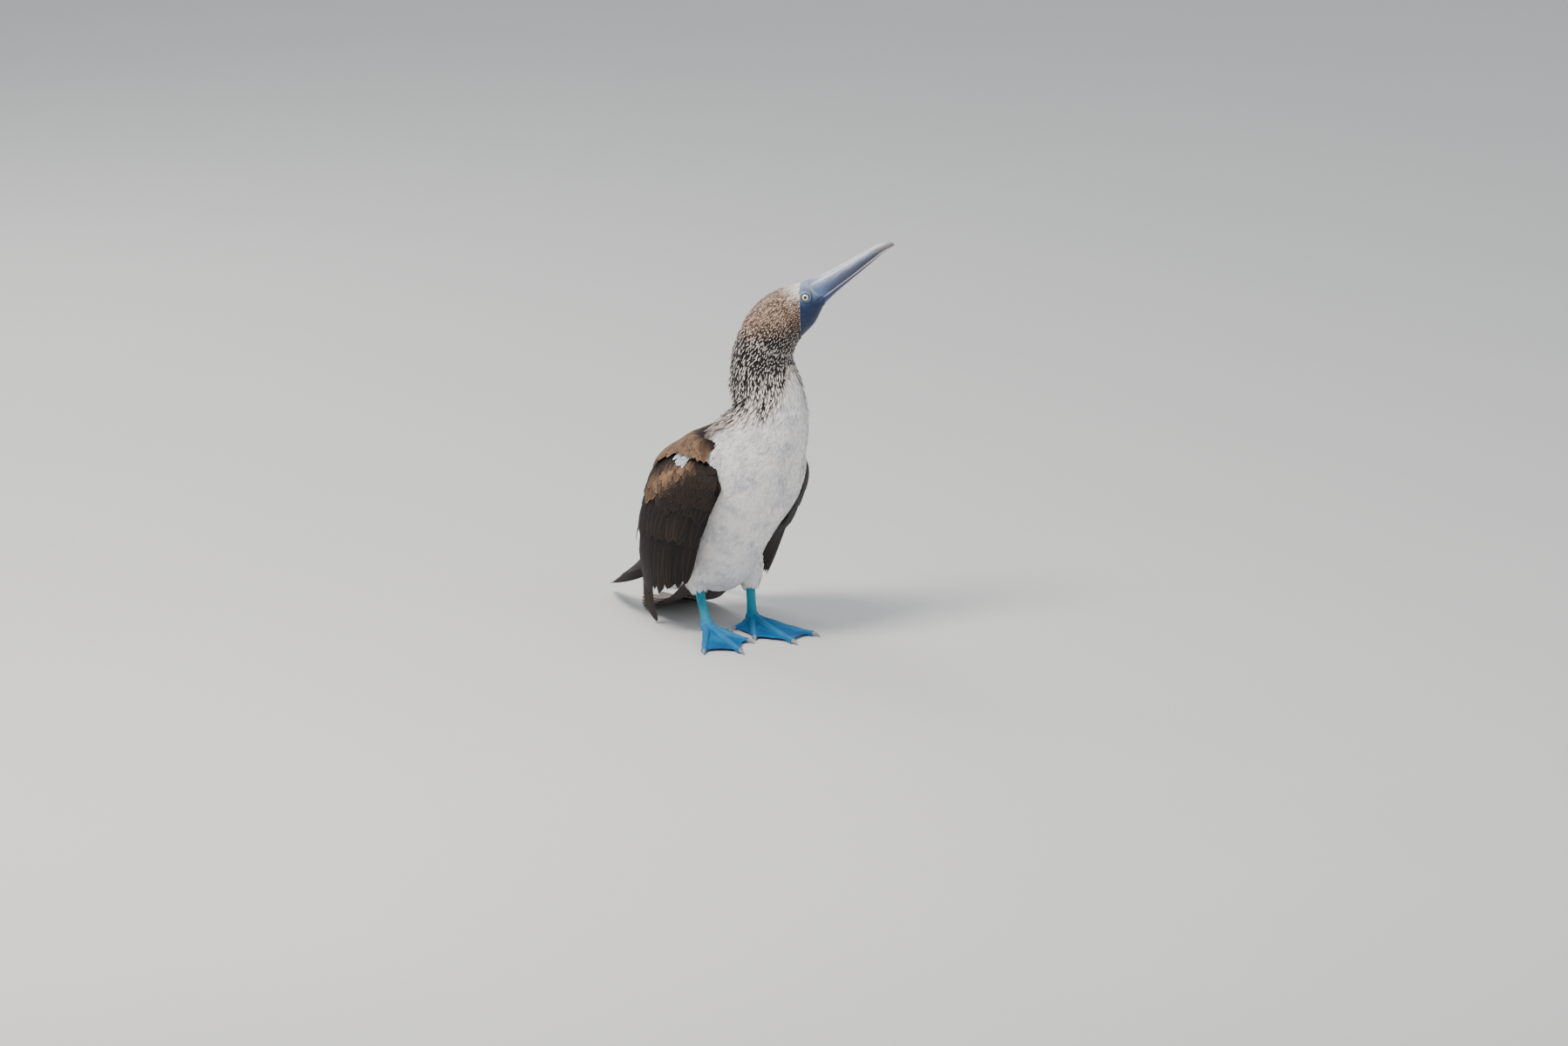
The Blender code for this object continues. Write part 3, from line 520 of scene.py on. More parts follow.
def lay_feathers(surface: Surface, across: np.ndarray, along: np.ndarray,
                 lengths: np.ndarray, halves: np.ndarray, barb: Barb,
                 marks: np.ndarray, rng: np.random.Generator, sway: float,
                 lifts: Any = None, way: float = 1.0) -> Feathers:
    """Lay feathers on a surface so that each follows its curve.

    Args:
        surface: What they grow from.
        across: Share across of each root.
        along: Share along of each root.
        lengths: Each feather's length.
        halves: Each feather's half width.
        barb: The form that they share.
        marks: Three marking shares for each feather.
        rng: Seeded random numbers.
        sway: How much they turn from the lie of the coat, in radians.
        lifts: How far tips stand off: an array, a range, or None for the form's own.
        way: 1 where the lie runs with the surface, -1 where it runs against it.

    Returns:
        The feathers.
    """
    count = len(across)
    turns, seeds = rng.normal(0.0, sway, count), rng.uniform(0.0, 1.0, count)
    if isinstance(lifts, tuple):
        lifts = rng.uniform(*lifts, count)
    wide, long = surface.strides(across, along)
    run = barb.runs()
    step_x = np.sin(turns) * lengths / np.maximum(wide, 20.0)
    step_y = way * np.cos(turns) * lengths / long
    for _ in range(3):
        base, normals = surface.at(across[:, None] + step_x[:, None] * run,
                                   along[:, None] + step_y[:, None] * run)
        reach = np.linalg.norm(np.diff(base, axis=1), axis=-1).sum(axis=1)
        fit = np.clip(lengths / np.maximum(reach, 0.1), 0.4, 1.6)
        step_x, step_y = step_x * fit, step_y * fit
    tips = barb.lift if lifts is None else lifts[:, None]
    height = (barb.rise - barb.sink * (1.0 - run) ** 2)[None, :] + tips * run ** 1.6
    seats = np.stack((np.mod(across, 1.0) if surface.wrapped else across,
                      np.clip(along, 0.0, 1.0)), axis=-1)
    return shape_feathers(base + normals * height[..., None], normals, halves, barb,
                          marks, seats, seeds)


def feather_mesh(name: str, groups: Sequence[Feathers]) -> bpy.types.Object:
    """Make one closed-vane mesh of several groups of feathers.

    Args:
        name: The piece's name.
        groups: The feathers, of any forms.

    Returns:
        The piece, with its markings, its vane places and its OFBake map.
    """
    points, facings, loops, starts, places = [], [], [], [], []
    offset, corner = 0, 0
    for group in groups:
        count, rows, columns = group.points.shape[:3]
        ring = np.arange(columns)
        following = (ring + 1) % columns
        row = np.arange(rows - 1)[:, None] * columns
        quads = np.stack((row + ring, row + columns + ring, row + columns + following,
                          row + following), axis=-1).reshape(-1, 4)
        caps = np.stack((ring, (rows - 1) * columns + ring[::-1]))
        first = group.points[0]
        outward = np.cross(first[1, 0] - first[0, 0], first[0, -1] - first[0, 0])
        crest = first[0, columns // 2] - 0.5 * (first[0, 0] + first[0, -1])
        if np.dot(outward, crest) < 0.0:
            quads, caps = quads[:, ::-1], caps[:, ::-1]
        base = offset + np.arange(count)[:, None, None] * rows * columns
        facing = group.facing.reshape(-1, 3)
        under = np.tile(ring == columns - 1, rows - 1)
        for cells, below in ((quads, under), (caps, np.zeros(2, dtype=bool))):
            grid = (base + cells[None]).reshape(-1, cells.shape[1])
            loops.append(grid.reshape(-1))
            starts.append(corner + np.arange(len(grid)) * cells.shape[1])
            corner += grid.size
            turned = np.where(np.tile(below, count), -1.0, 1.0)[:, None, None]
            facings.append((facing[grid - offset] * turned).reshape(-1, 3))
        points.append(group.points.reshape(-1, 3))
        local = np.stack((group.vane[..., 1] * 0.5, group.vane[..., 0] - 0.5), axis=-1)
        places.append((group.seat[:, None, None, :] + local * UNWRAP_PATCH
                       ).reshape(-1, 2))
        offset += len(facing)
    mesh = bpy.data.meshes.new(name)
    mesh.vertices.add(offset)
    mesh.vertices.foreach_set("co", placed(np.concatenate(points)).reshape(-1))
    corners = np.concatenate(loops).astype(np.int32)
    mesh.loops.add(len(corners))
    mesh.loops.foreach_set("vertex_index", corners)
    begin = np.concatenate(starts).astype(np.int32)
    mesh.polygons.add(len(begin))
    mesh.polygons.foreach_set("loop_start", begin)
    mesh.update(calc_edges=True)
    for key in ("vane", "mark"):
        write_layer(mesh, key, np.concatenate(
            [getattr(group, key).reshape(-1, 3) for group in groups]))
    chart = mesh.uv_layers.new(name="OFBake")
    chart.data.foreach_set("uv", np.concatenate(places)[corners].reshape(-1))
    mesh.validate()
    mesh.shade_smooth()
    mesh.normals_split_custom_set(np.concatenate(facings).tolist())
    return link(name, mesh)


def operation(kind: str, turned: bool = False) -> Callable[..., "Signal"]:
    """A method that feeds its signal and what it is given to a Math node."""
    def method(self: "Signal", *others: Any) -> "Signal":
        """The Math node's result."""
        values = (*others, self) if turned else (self, *others)
        return self.paint.node("Math", dict(enumerate(values)), operation=kind)
    return method


class Signal:
    """A node's socket on which sums are written as plain expressions."""

    def __init__(self, paint: "Paint", socket: bpy.types.NodeSocket) -> None:
        """Hold a socket of one material."""
        self.paint = paint
        self.socket = socket

    __add__, __radd__ = operation("ADD"), operation("ADD", True)
    __sub__, __rsub__ = operation("SUBTRACT"), operation("SUBTRACT", True)
    __mul__, __pow__ = operation("MULTIPLY"), operation("POWER")
    __abs__, sine = operation("ABSOLUTE"), operation("SINE")
    least, most = operation("MINIMUM"), operation("MAXIMUM")

    def ease(self, low: float, high: float) -> "Signal":
        """Share from 0 at low to 1 at high, eased at both ends."""
        ends = (0.0, 1.0) if low < high else (1.0, 0.0)
        return self.paint.node(
            "MapRange", dict(enumerate((self, *sorted((low, high)), *ends))),
            interpolation_type="SMOOTHSTEP", clamp=True)

    def dot(self, way: Sequence[float]) -> "Signal":
        """Length of a vector along a fixed direction."""
        return self.paint.node("VectorMath", {0: self, 1: tuple(way)}, "Value",
                               operation="DOT_PRODUCT")


class Paint:
    """Makes the nodes of one material."""

    def __init__(self, name: str, **constants: float) -> None:
        """Start a material whose even settings are these, by socket name."""
        self.material = bpy.data.materials.new(name)
        self.material.use_nodes = True
        self.tree = self.material.node_tree
        for key, value in constants.items():
            self.socket(key).default_value = value

    def socket(self, key: str) -> bpy.types.NodeSocket:
        """The shader's socket of a name that is written with underscores."""
        name = key.replace("_", " ").title().replace("Ior", "IOR")
        return self.tree.nodes["Principled BSDF"].inputs[name]

    def node(self, kind: str, inputs: dict[Any, Any] | None = None, output: Any = 0,
             **settings: Any) -> Signal:
        """Make one node.

        Args:
            kind: The node's type, without ShaderNode.
            inputs: A value or a signal for each named or numbered socket.
            output: Name or number of the socket that is returned.
            settings: Its properties.

        Returns:
            The chosen output as a signal.
        """
        made = self.tree.nodes.new("ShaderNode" + kind)
        for key, value in settings.items():
            setattr(made, key, value)
        for key, value in (inputs or {}).items():
            if isinstance(value, Signal):
                self.tree.links.new(value.socket, made.inputs[key])
            else:
                made.inputs[key].default_value = value
        return Signal(self, made.outputs[output])

    def attribute(self, name: str) -> tuple[Signal, ...]:
        """The three parts of a vector attribute of the mesh."""
        vector = self.node("Attribute", output="Vector", attribute_name=name)
        return tuple(self.node("SeparateXYZ", {0: vector}, axis) for axis in "XYZ")

    def place(self) -> Signal:
        """Object coordinates."""
        return self.node("TexCoord", output="Object")

    def past(self, way: np.ndarray, start: np.ndarray = BILL_BASE) -> Signal:
        """Millimetres in a direction from a point of the bird's frame."""
        return (self.place().dot(way) - float(np.dot(placed(start), way))) * PER_METRE

    def noise(self, scale: float, detail: float, *parts: Signal) -> Signal:
        """Cloudy pattern from 0 to 1, in cells for each metre or over three parts."""
        vector = (self.node("CombineXYZ", dict(enumerate(parts))) if parts
                  else self.place())
        return self.node("TexNoise", {"Vector": vector, "Scale": scale,
                                      "Detail": detail, "Roughness": 0.5})

    def cells(self, scale: float) -> Signal:
        """Distance to the nearest border of small cells."""
        return self.node("TexVoronoi", {"Vector": self.place(), "Scale": scale},
                         feature="DISTANCE_TO_EDGE")

    def mix(self, colour: Any, *layers: tuple[Any, Any]) -> Any:
        """Colour under further layers, each a share and a colour."""
        for share, coat in layers:
            colour = self.node("Mix", {0: share, 6: colour, 7: coat}, 2,
                               data_type="RGBA")
        return colour

    def bump(self, height: Signal, strength: float, depth: float) -> Signal:
        """Normal that a height pattern gives, its depth in metres."""
        return self.node("Bump", {"Height": height, "Strength": strength,
                                  "Distance": depth})

    def finish(self, **links: Signal) -> bpy.types.Material:
        """Link varying values to the shader and return the material."""
        for key, value in links.items():
            self.tree.links.new(value.socket, self.socket(key))
        return self.material


@dataclass(frozen=True)
class PlumageFinish:
    """Contour feathers, white below, streaked on head and neck, brown on the back."""

    white: tuple = linear(246, 243, 240)
    # lilac grey of painted shade patches on the white feathers
    shade: tuple = linear(184, 183, 195)
    buff: tuple = linear(240, 226, 216)
    crown: tuple = linear(222, 196, 172)
    dark: tuple = linear(26, 19, 20)
    bistre: tuple = linear(98, 68, 50)
    brown: tuple = linear(48, 35, 30)
    tan: tuple = linear(146, 112, 88)

    def make(self) -> bpy.types.Material:
        """Build the material that skin and coat share."""
        paint = Paint("contour_plumage", roughness=0.72, specular_ior_level=0.25,
                      sheen_weight=0.25, sheen_roughness=0.5)
        along, side, seed = paint.attribute("vane")
        brown, streak, crown = paint.attribute("mark")
        cloud, fine = paint.noise(42.0, 4.0), paint.noise(600.0, 2.0)
        edge = abs(side)
        # painted shade: cloudy grey-lilac patches over the white feathers
        shade_patches = (cloud + seed * 0.2).ease(0.5, 0.85) * 0.75
        pale = paint.mix(self.buff, (crown, self.crown), (seed * 0.4, self.white))
        ink = paint.mix(self.dark, (crown, self.bistre))
        reach = edge * 0.26 - along + (fine - 0.5) * 0.10 + seed * 0.08
        limit = streak * 0.28 + crown * 0.10 + 0.47
        core = (reach + limit).ease(-0.04, 0.08) * (streak * (1.5 + seed)).least(1.0)
        rim = (edge * 0.5 + along * 0.8 + fine * 0.2 + seed * 0.1).ease(0.85, 1.25)
        colour = paint.mix(
            self.white, (shade_patches, self.shade),
            ((streak + crown).least(1.0).ease(0.02, 0.3), paint.mix(pale, (core, ink))),
            (brown, paint.mix(self.brown, (rim * 0.55, self.tan))))
        barbs = ((along * 34.0 + edge * 9.0 + seed * 40.0) * 3.0).sine()
        height = barbs * 0.25 + fine * 0.6
        return paint.finish(base_color=colour, normal=paint.bump(height, 0.3, 0.0005))


@dataclass(frozen=True)
class FlightFinish:
    """Wing and tail feathers, dark brown with tan edges, and tan painted as sunlight in
    a band on each wing.
    """

    dark: tuple = linear(9, 7, 8)
    brown: tuple = linear(25, 18, 17)
    tan: tuple = linear(164, 128, 98)
    grey: tuple = linear(142, 130, 124)
    white: tuple = linear(206, 213, 226)

    def make(self) -> bpy.types.Material:
        """Build the material; the marks are tan, grey and white shares, the tan share
        partly painted sunlight.
        """
        paint = Paint("flight_feathers", roughness=0.62, specular_ior_level=0.22)
        along, side, seed = paint.attribute("vane")
        # the tan share is real tan edges, plus painted sunlight in the lit band under
        # the cape
        tan, grey, white = paint.attribute("mark")
        edge = abs(side)
        cloud = paint.noise(90.0, 4.0)
        streaks = paint.noise(1.0, 3.0, along * 5.0, side * 9.0, seed * 50.0)
        rim = (edge * 0.7 + along * 0.65 + streaks * 0.35).ease(1.05, 1.5)
        shaft = edge.ease(0.10, 0.03)
        colour = paint.mix(
            self.dark, ((streaks + seed * 0.4).ease(0.35, 0.95), self.brown),
            (grey * (0.55 + cloud * 0.6), self.grey),
            ((rim * (0.06 + tan)).least(1.0), self.tan),
            (tan * 0.7 * along.ease(0.2, 0.9), self.tan),
            (white, self.white), (shaft * 0.06, self.tan))
        barbs = ((along * 60.0 + edge * 24.0 + seed * 20.0) * 4.0).sine()
        height = barbs * 0.12 + shaft + streaks * 0.5
        return paint.finish(base_color=colour, normal=paint.bump(height, 0.4, 0.0006))


@dataclass(frozen=True)
class FaceFinish:
    """Bare slate-blue skin of the face and throat."""

    # pale of the painted light on the upper and forward face
    pale: tuple = linear(146, 162, 184)
    slate: tuple = linear(56, 78, 110)
    # deep blue of the painted shade under the mouth and in its crease
    deep: tuple = linear(13, 37, 72)
    lid: tuple = linear(132, 152, 182)
    feather: tuple = linear(232, 218, 206)

    def make(self) -> bpy.types.Material:
        """Build the material: painted light pales the skin upward and before the eye,
        and painted shade turns it deep blue under the mouth.
        """
        paint = Paint("face_skin", roughness=0.48, specular_ior_level=0.4)
        above, ahead = paint.past(UPPER), paint.past(ALONG)
        grain = paint.noise(260.0, 4.0)
        # painted light and shade: the skin pales upward and forward and darkens to deep
        # blue under the mouth
        lit = above + ahead * 0.42 + grain * 6.0
        # painted shade in the crease along the mouth line
        crease = abs(above + 3.7 + grain * 0.8).ease(1.1, 0.2) * ahead.ease(-15.0, -8.0)
        across, up = ahead + EYE_BACK, above - EYE_UP
        away = (across * across + up * up) ** 0.5 + (grain - 0.5) * 0.6
        high = above - FACE_CORNER
        line = high.most(0.0) * FACE_SLOPES[1] + high.least(0.0) * FACE_SLOPES[0]
        bare = ahead - line - FACE_LINE + (grain - 0.5) * 0.5
        colour = paint.mix(
            self.deep, (lit.ease(-6.0, 4.0), self.slate),
            (lit.ease(0.0, 11.0) * 0.85, self.pale),
            (grain.ease(0.5, 0.75) * 0.3, self.slate), (crease * 0.75, self.deep),
            (away.ease(11.0, 6.5) * 0.55, self.slate),
            (away.ease(6.6, 5.8) * 0.8, self.lid), (away.ease(5.1, 4.5), self.deep),
            (bare.ease(-0.4, -0.8), self.feather))
        folds = paint.cells(900.0).ease(0.0, 0.12)
        height = folds * 0.5 + grain - crease * 2.5
        return paint.finish(base_color=colour, normal=paint.bump(height, 0.4, 0.0005))


@dataclass(frozen=True)
class BillFinish:
    """Blue-grey horn that pales towards its tip, with a painted highlight along its
    ridge and painted shade over the mouth line and under it.
    """

    base: tuple = linear(86, 108, 146)
    middle: tuple = linear(88, 94, 116)
    # painted highlight along the top of the bill
    ridge: tuple = linear(204, 209, 222)
    tip: tuple = linear(192, 174, 166)
    # painted shade of the band over the mouth line, and a random mottle
    dark: tuple = linear(40, 46, 68)
    # painted shade on the lower mandible
    lower: tuple = linear(22, 46, 88)
    edge: tuple = linear(206, 184, 188)

    def make(self) -> bpy.types.Material:
        """Build the material from the place along and above the bill."""
        paint = Paint("bill_horn", roughness=0.36, specular_ior_level=0.5,
                      coat_weight=0.15, coat_roughness=0.25)
        run = paint.past(ALONG) * (1.0 / BILL_LENGTH)
        above, lateral = paint.past(UPPER), paint.past(LEFT)
        grain = paint.noise(1.0, 5.0, run * 7.0, lateral * 0.45, above * 0.45)
        # painted highlight: pale along the top of the upper mandible
        ridge = (above + run * 8.0 + grain * 6.0).ease(8.5, 16.0)
        past = (run - 0.8).most(0.0)
        rel = above + 4.1 - run * run * 2.9 + past * past * 75.0
        # painted shade: a dark band on the upper mandible over the mouth line
        belt_shade = (rel + grain * 4.0).ease(10.5, 2.8) * run.ease(0.04, 0.2)
        # painted shade: the lower mandible darker under the mouth line
        under = (rel + grain * 1.2).ease(-0.2, -2.6)
        line = (rel + grain * 0.4).ease(-1.6, -0.9) * rel.ease(0.1, -0.1)
        colour = paint.mix(
            self.base, (run.ease(0.0, 0.45), self.middle),
            (run.ease(0.72, 0.98), self.tip),
            (ridge * run.ease(-0.05, 0.25) * 0.85, self.ridge),
            (belt_shade * rel.ease(-0.2, 0.1) * 0.7, self.dark),
            (under * run.ease(1.0, 0.55) * 0.85, self.lower),
            (line * run.ease(0.05, 0.16) * 0.85, self.edge),
            (grain.ease(0.55, 0.8) * 0.3, self.dark))
        return paint.finish(base_color=colour, roughness=0.28 + grain * 0.25,
                            normal=paint.bump(grain, 0.3, 0.0004))


@dataclass(frozen=True)
class EyeFinish:
    """Pale yellow iris round a small black pupil, wet and clear."""

    iris: tuple = linear(238, 234, 210)
    rim: tuple = linear(132, 128, 108)
    pupil: tuple = linear(6, 6, 8)
    pupil_radius: float = 1.75
    iris_radius: float = 4.2

    def make(self, side: Side) -> bpy.types.Material:
        """Build the material of one eye from the distance to its axis."""
        paint = Paint("eye_" + side.value, roughness=0.08, specular_ior_level=0.6,
                      coat_weight=0.8, coat_roughness=0.03)
        fore, high = (paint.past(way, eye_centre(side)) for way in (ALONG, UPPER))
        radius = (fore * fore + high * high) ** 0.5
        grain = paint.noise(1800.0, 3.0)
        small, large = self.pupil_radius, self.iris_radius
        colour = paint.mix(self.iris, ((radius + grain).ease(3.0, 4.4), self.rim),
                           (radius.ease(small + 0.12, small - 0.12), self.pupil),
                           (radius.ease(large - 0.1, large + 0.5), self.pupil))
        return paint.finish(base_color=colour, normal=paint.bump(grain, 0.05, 0.0001))


@dataclass(frozen=True)
class FootFinish:
    """Skin of legs and feet: teal shanks that turn sky blue on the webs."""

    web: tuple = linear(8, 112, 176)
    shade: tuple = linear(2, 76, 136)
    toe: tuple = linear(58, 156, 200)
    shank: tuple = linear(26, 150, 172)

    def make(self) -> bpy.types.Material:
        """Build the material: scales, wrinkles and a change of hue with height."""
        paint = Paint("foot_skin", roughness=0.45, specular_ior_level=0.4)
        height = paint.place().dot((0.0, 0.0, 1.0)) * PER_METRE
        cloud, grain = paint.noise(55.0, 4.0), paint.noise(900.0, 3.0)
        scales = paint.cells(620.0).ease(0.0, 0.2)
        colour = paint.mix(
            self.web, (cloud.ease(0.3, 0.75), self.shade),
            (height.ease(3.4, 6.5) * 0.45, self.toe),
            ((height + cloud * 8.0).ease(15.0, 30.0), self.shank),
            ((1.0 - scales) * 0.3, self.shade))
        return paint.finish(base_color=colour, roughness=0.38 + grain * 0.25,
                            normal=paint.bump(scales + grain * 0.6, 0.4, 0.0005))


@dataclass(frozen=True)
class ClawFinish:
    """Pale grey horn, darker at the tip."""

    horn: tuple = linear(150, 148, 150)
    dark: tuple = linear(78, 76, 84)

    def make(self) -> bpy.types.Material:
        """Build the material with fine growth lines."""
        paint = Paint("claw_horn", roughness=0.4)
        grain = paint.noise(700.0, 4.0)
        colour = paint.mix(self.horn, (grain.ease(0.35, 0.8) * 0.4, self.dark))
        return paint.finish(base_color=colour, normal=paint.bump(grain, 0.2, 0.0002))


@dataclass(frozen=True)
class FloorFinish:
    """Plain pale studio floor."""

    tone: tuple = linear(222, 222, 220)

    def make(self) -> bpy.types.Material:
        """Build the material with a very faint mottle."""
        paint = Paint("studio_floor", roughness=0.7, specular_ior_level=0.2)
        pale = (*(c * 1.04 for c in self.tone[:3]), 1.0)
        return paint.finish(base_color=paint.mix(self.tone,
                                                 (paint.noise(3.0, 2.0), pale)))


def settle(piece: bpy.types.Object, slot: str, nodes: Sequence[str],
           *materials: bpy.types.Material) -> None:
    """Dress a piece, let it ride on the bird and stand for its nodes.

    Args:
        piece: The finished piece.
        slot: The record's material slot; not used.
        nodes: CAD nodes that it stands for.
        materials: Its materials, in the order of its faces' numbers.
    """
    piece.data.materials.clear()
    for material in materials:
        piece.data.materials.append(material)
    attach(piece, "root")
    if nodes:
        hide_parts(*nodes)
    LOG.info("%s: %d faces", piece.name, len(piece.data.polygons))


@dataclass(frozen=True)
class Coat:
    """One kind of coat feather and how its sizes change along the body."""

    barb: Barb
    # station, length, half width, row step, gap and tip lift
    table: tuple
    sideways: float = 0.12


SOFT = Coat(Barb(rise=-1.0, sink=1.4, camber=0.10, round=0.8, point=1.8, soft=0.85),
            ((0, 13, 2.2, 3.2, 3.2, 0.3), (4, 15, 2.4, 3.5, 3.4, 0.4),
             (7, 14, 2.2, 3.2, 3.2, 0.5), (8.6, 11, 1.8, 2.8, 2.8, 0.6),
             (10.6, 9, 1.6, 2.5, 2.5, 0.6)), 0.16)
DOWN = Coat(Barb(rows=4, rise=-0.7, sink=1.4, camber=0.3, round=0.9, point=1.4,
                 soft=0.85),
            ((0, 10, 0.55, 2.9, 2.8, 0.5), (5, 12, 0.65, 3.2, 3.0, 0.6),
             (8.4, 10, 0.55, 2.7, 2.6, 0.6)), 0.32)
HACKLES = Coat(Barb(rows=6, rise=-0.9, sink=1.6, camber=0.25, round=0.9, point=1.5),
               ((6, 16, 2.2, 4.5, 4.4, 2.6), (8, 15.5, 2.1, 4.1, 4.0, 2.8),
                (10, 13.5, 1.9, 3.6, 3.5, 2.0), (12.4, 10, 1.6, 2.8, 2.7, 1.3)))
RUFF = Coat(Barb(rows=6, rise=-0.6, sink=1.6, camber=0.25, round=0.9, point=1.5),
            ((7, 15, 1.5, 3.6, 3.6, 4.6), (9.3, 13, 1.4, 3.2, 3.2, 4.4)), 0.25)
CROWN = Coat(Barb(rise=-0.1, sink=0.6, camber=0.3, round=0.9, point=1.5),
             ((12, 9.5, 1.5, 2.6, 2.5, 1.2), (14, 7.4, 1.25, 2.0, 1.9, 0.8),
              (15, 5.2, 1.0, 1.45, 1.4, 0.5), (16, 3.6, 0.75, 1.0, 1.0, 0.3)))


@dataclass
class Body:
    """Skin and coat of torso, thighs, neck and head."""

    finish: PlumageFinish = PlumageFinish()
    face: FaceFinish = FaceFinish()
    sides: int = 72
    rings_per_station: int = 8
    # stations, and the depth of the coat over the skin there
    coat_depth: tuple = ((0, 6, 8, 10, 12, 14, 15, 16),
                         (2.6, 3.2, 2.6, 2.0, 1.3, 0.8, 0.5, 0.0))
    # how far the bare skin's edge runs onto the bill, and how proud it stands there
    cuff_profile: tuple = ((1.0, 0.10), (2.6, 0.18), (4.6, 0.20), (6.6, 0.16),
                           (8.0, 0.06), (8.8, -0.3), (8.2, -1.4))
    surface: Surface = field(init=False)
    last: float = float(len(TRUNK))

    def __post_init__(self) -> None:
        """Work out the outer surface that the coat's tips reach."""
        self.surface = Surface(self.rings(0.0, 128, 16).transpose(1, 0, 2), True)

    @staticmethod
    def station(place: float) -> tuple:
        """Centre, left and back directions and the three sizes at a station."""
        centres = [row[:3] for row in TRUNK] + [BILL_BASE]
        axis = slope(centres, place, 0.35)
        _, top, bottom, wide, _ = BILL_STATIONS[0]
        sizes = [row[3:] for row in TRUNK] + [(wide, top, bottom, HEAD_YAW)]
        half, back, front, yaw = spline(sizes, place)
        axis = unit(axis + (ALONG - axis) * float(smooth(14.6, 15.0, place)))
        turn = math.radians(yaw)
        left = np.array((math.cos(turn), math.sin(turn), 0.0))
        left = unit(left - axis * np.dot(left, axis))
        return spline(centres, place), left, np.cross(axis, left), half, back, front

    def rings(self, share: float, sides: int, per_station: int) -> np.ndarray:
        """Rings of the body sunk by a share of the coat's depth.

        Args:
            share: 0 at the tips of the coat and 1 at the skin.
            sides: Points in a ring.
            per_station: Rings for each station.

        Returns:
            Rings by points by three.
        """
        angle = math.tau * np.arange(sides) / sides
        rise = np.sin(angle)
        made = []
        for i in range(len(TRUNK) * per_station + 1):
            place = i / per_station
            centre, left, rear, half, back, front = self.station(place)
            sunk = share * float(np.interp(place, *self.coat_depth))
            billed = float(smooth(14.6, 16.0, place))
            mouth = BILL_STATIONS[0][4] * billed
            depth = np.where(rise > 0.0, back, front) - sunk
            reach = np.where(rise > 0.0, depth - mouth, depth + mouth)
            high = mouth + np.sign(rise) * np.abs(rise) ** (1.0 - 0.2 * billed) * reach
            made.append(centre + np.outer((half - sunk) * np.cos(angle), left)
                        + np.outer(high, rear))
        return np.array(made)

    def cuff(self) -> np.ndarray:
        """Thin edge of bare skin that runs onto the bill, farthest at the mouth."""
        runs = [row[0] for row in BILL_STATIONS]
        made = []
        for ahead, proud in self.cuff_profile:
            ring = []
            for j in range(self.sides):
                angle = math.tau * j / self.sides
                rise = math.sin(angle)
                share = 0.35 + 0.65 * math.exp(-((rise + 0.25) / 0.35) ** 2)
                run = ahead * share / BILL_LENGTH
                place = float(np.interp(run, runs, range(len(runs))))
                _, top, bottom, half, mouth = spline(BILL_STATIONS, place)
                reach = (top - mouth) if rise > 0.0 else (mouth + bottom)
                high = mouth + math.copysign(abs(rise) ** 0.8, rise) * (reach + proud)
                ring.append(BILL_BASE + ALONG * ahead * share
                            + LEFT * (half + proud) * math.cos(angle) + UPPER * high)
            made.append(ring)
        return np.array(made)

    @staticmethod
    def markings(points: np.ndarray, facing: np.ndarray) -> np.ndarray:
        """Brown, streaked and crown shares of points on the body.

        Args:
            points: Points in the bird's frame.
            facing: 1 where a point is at the back of its ring and -1 at the front.

        Returns:
            Points by three shares.
        """
        height = points[:, 2]
        neck = smooth(-12.0, 12.0, height - np.interp(facing, *NECK_BORDER))
        ahead, above = face_place(points)
        forehead = smooth(-30.0, -10.0, ahead) * smooth(4.0, 12.0, above)
        crown = smooth(336.0, 370.0, height + 8.0 * facing)
        dark = neck * (1.0 - 0.42 * crown) * (1.0 - 0.85 * forehead)
        dark = dark * (0.78 + 0.22 * smooth(0.4, -0.4, facing))
        dark = dark * (1.0 - 0.55 * smooth(308.0, 286.0, height)
                       * smooth(0.45, 0.0, facing))
        back = smooth(0.12, 0.42, facing + 0.10 * smooth(200.0, 235.0, height))
        mantle = back * smooth(110.0, 130.0, height) * (1.0 - neck)
        return np.stack((mantle, dark, neck * crown * (1.0 - forehead)), axis=-1)

    def build_skin(self) -> bpy.types.Object:
        """One closed skin with its thighs, eye sockets and bare face."""
        rings = self.rings(1.0, self.sides, self.rings_per_station)
        skin = Bench.wrap("skin", np.concatenate((rings, self.cuff())))
        radii = [radius - THIGH_SUNK for radius in (*THIGH_RADII, 8.6)]
        Bench.combine(skin, [Bench.tube("thigh_" + side.value, self.thigh_path(side),
                                        radii, 32, 18) for side in Side], "UNION")
        Bench.combine(skin, [Bench.ball("socket_" + side.value, eye_centre(side),
                                        EYE_RADIUS + 0.15) for side in Side],
                      "DIFFERENCE")
        spots = np.empty(len(skin.data.vertices) * 3)
        skin.data.vertices.foreach_get("co", spots)
        spots = (spots.reshape(-1, 3) - SHIFT) / MM
        centres = np.array([row[:3] for row in TRUNK])
        nearest = np.argmin(np.abs(spots[:, 2:3] - centres[None, :, 2]), axis=1)
        rear = np.array([self.station(float(k))[2] for k in range(len(TRUNK))])
        facing = np.einsum("ij,ij->i", unit(spots - centres[nearest]), rear[nearest])
        write_layer(skin.data, "mark", self.markings(spots, facing))
        write_layer(skin.data, "vane", (0.5, 0.2, 0.4))
        skin.data.shade_smooth()
        return skin

    @staticmethod
    def bare_faces(skin: bpy.types.Object) -> None:
        """Give the bare face its own finish, up to just under the first feathers."""
        for face in skin.data.polygons:
            spots = np.array([(skin.data.vertices[v].co - Vector(SHIFT)) / MM
                              for v in face.vertices])
            if spots[:, 2].min() > FACE_FOOT + 2.0:
                face.material_index = int(bare_share(spots).min() > -7.0)

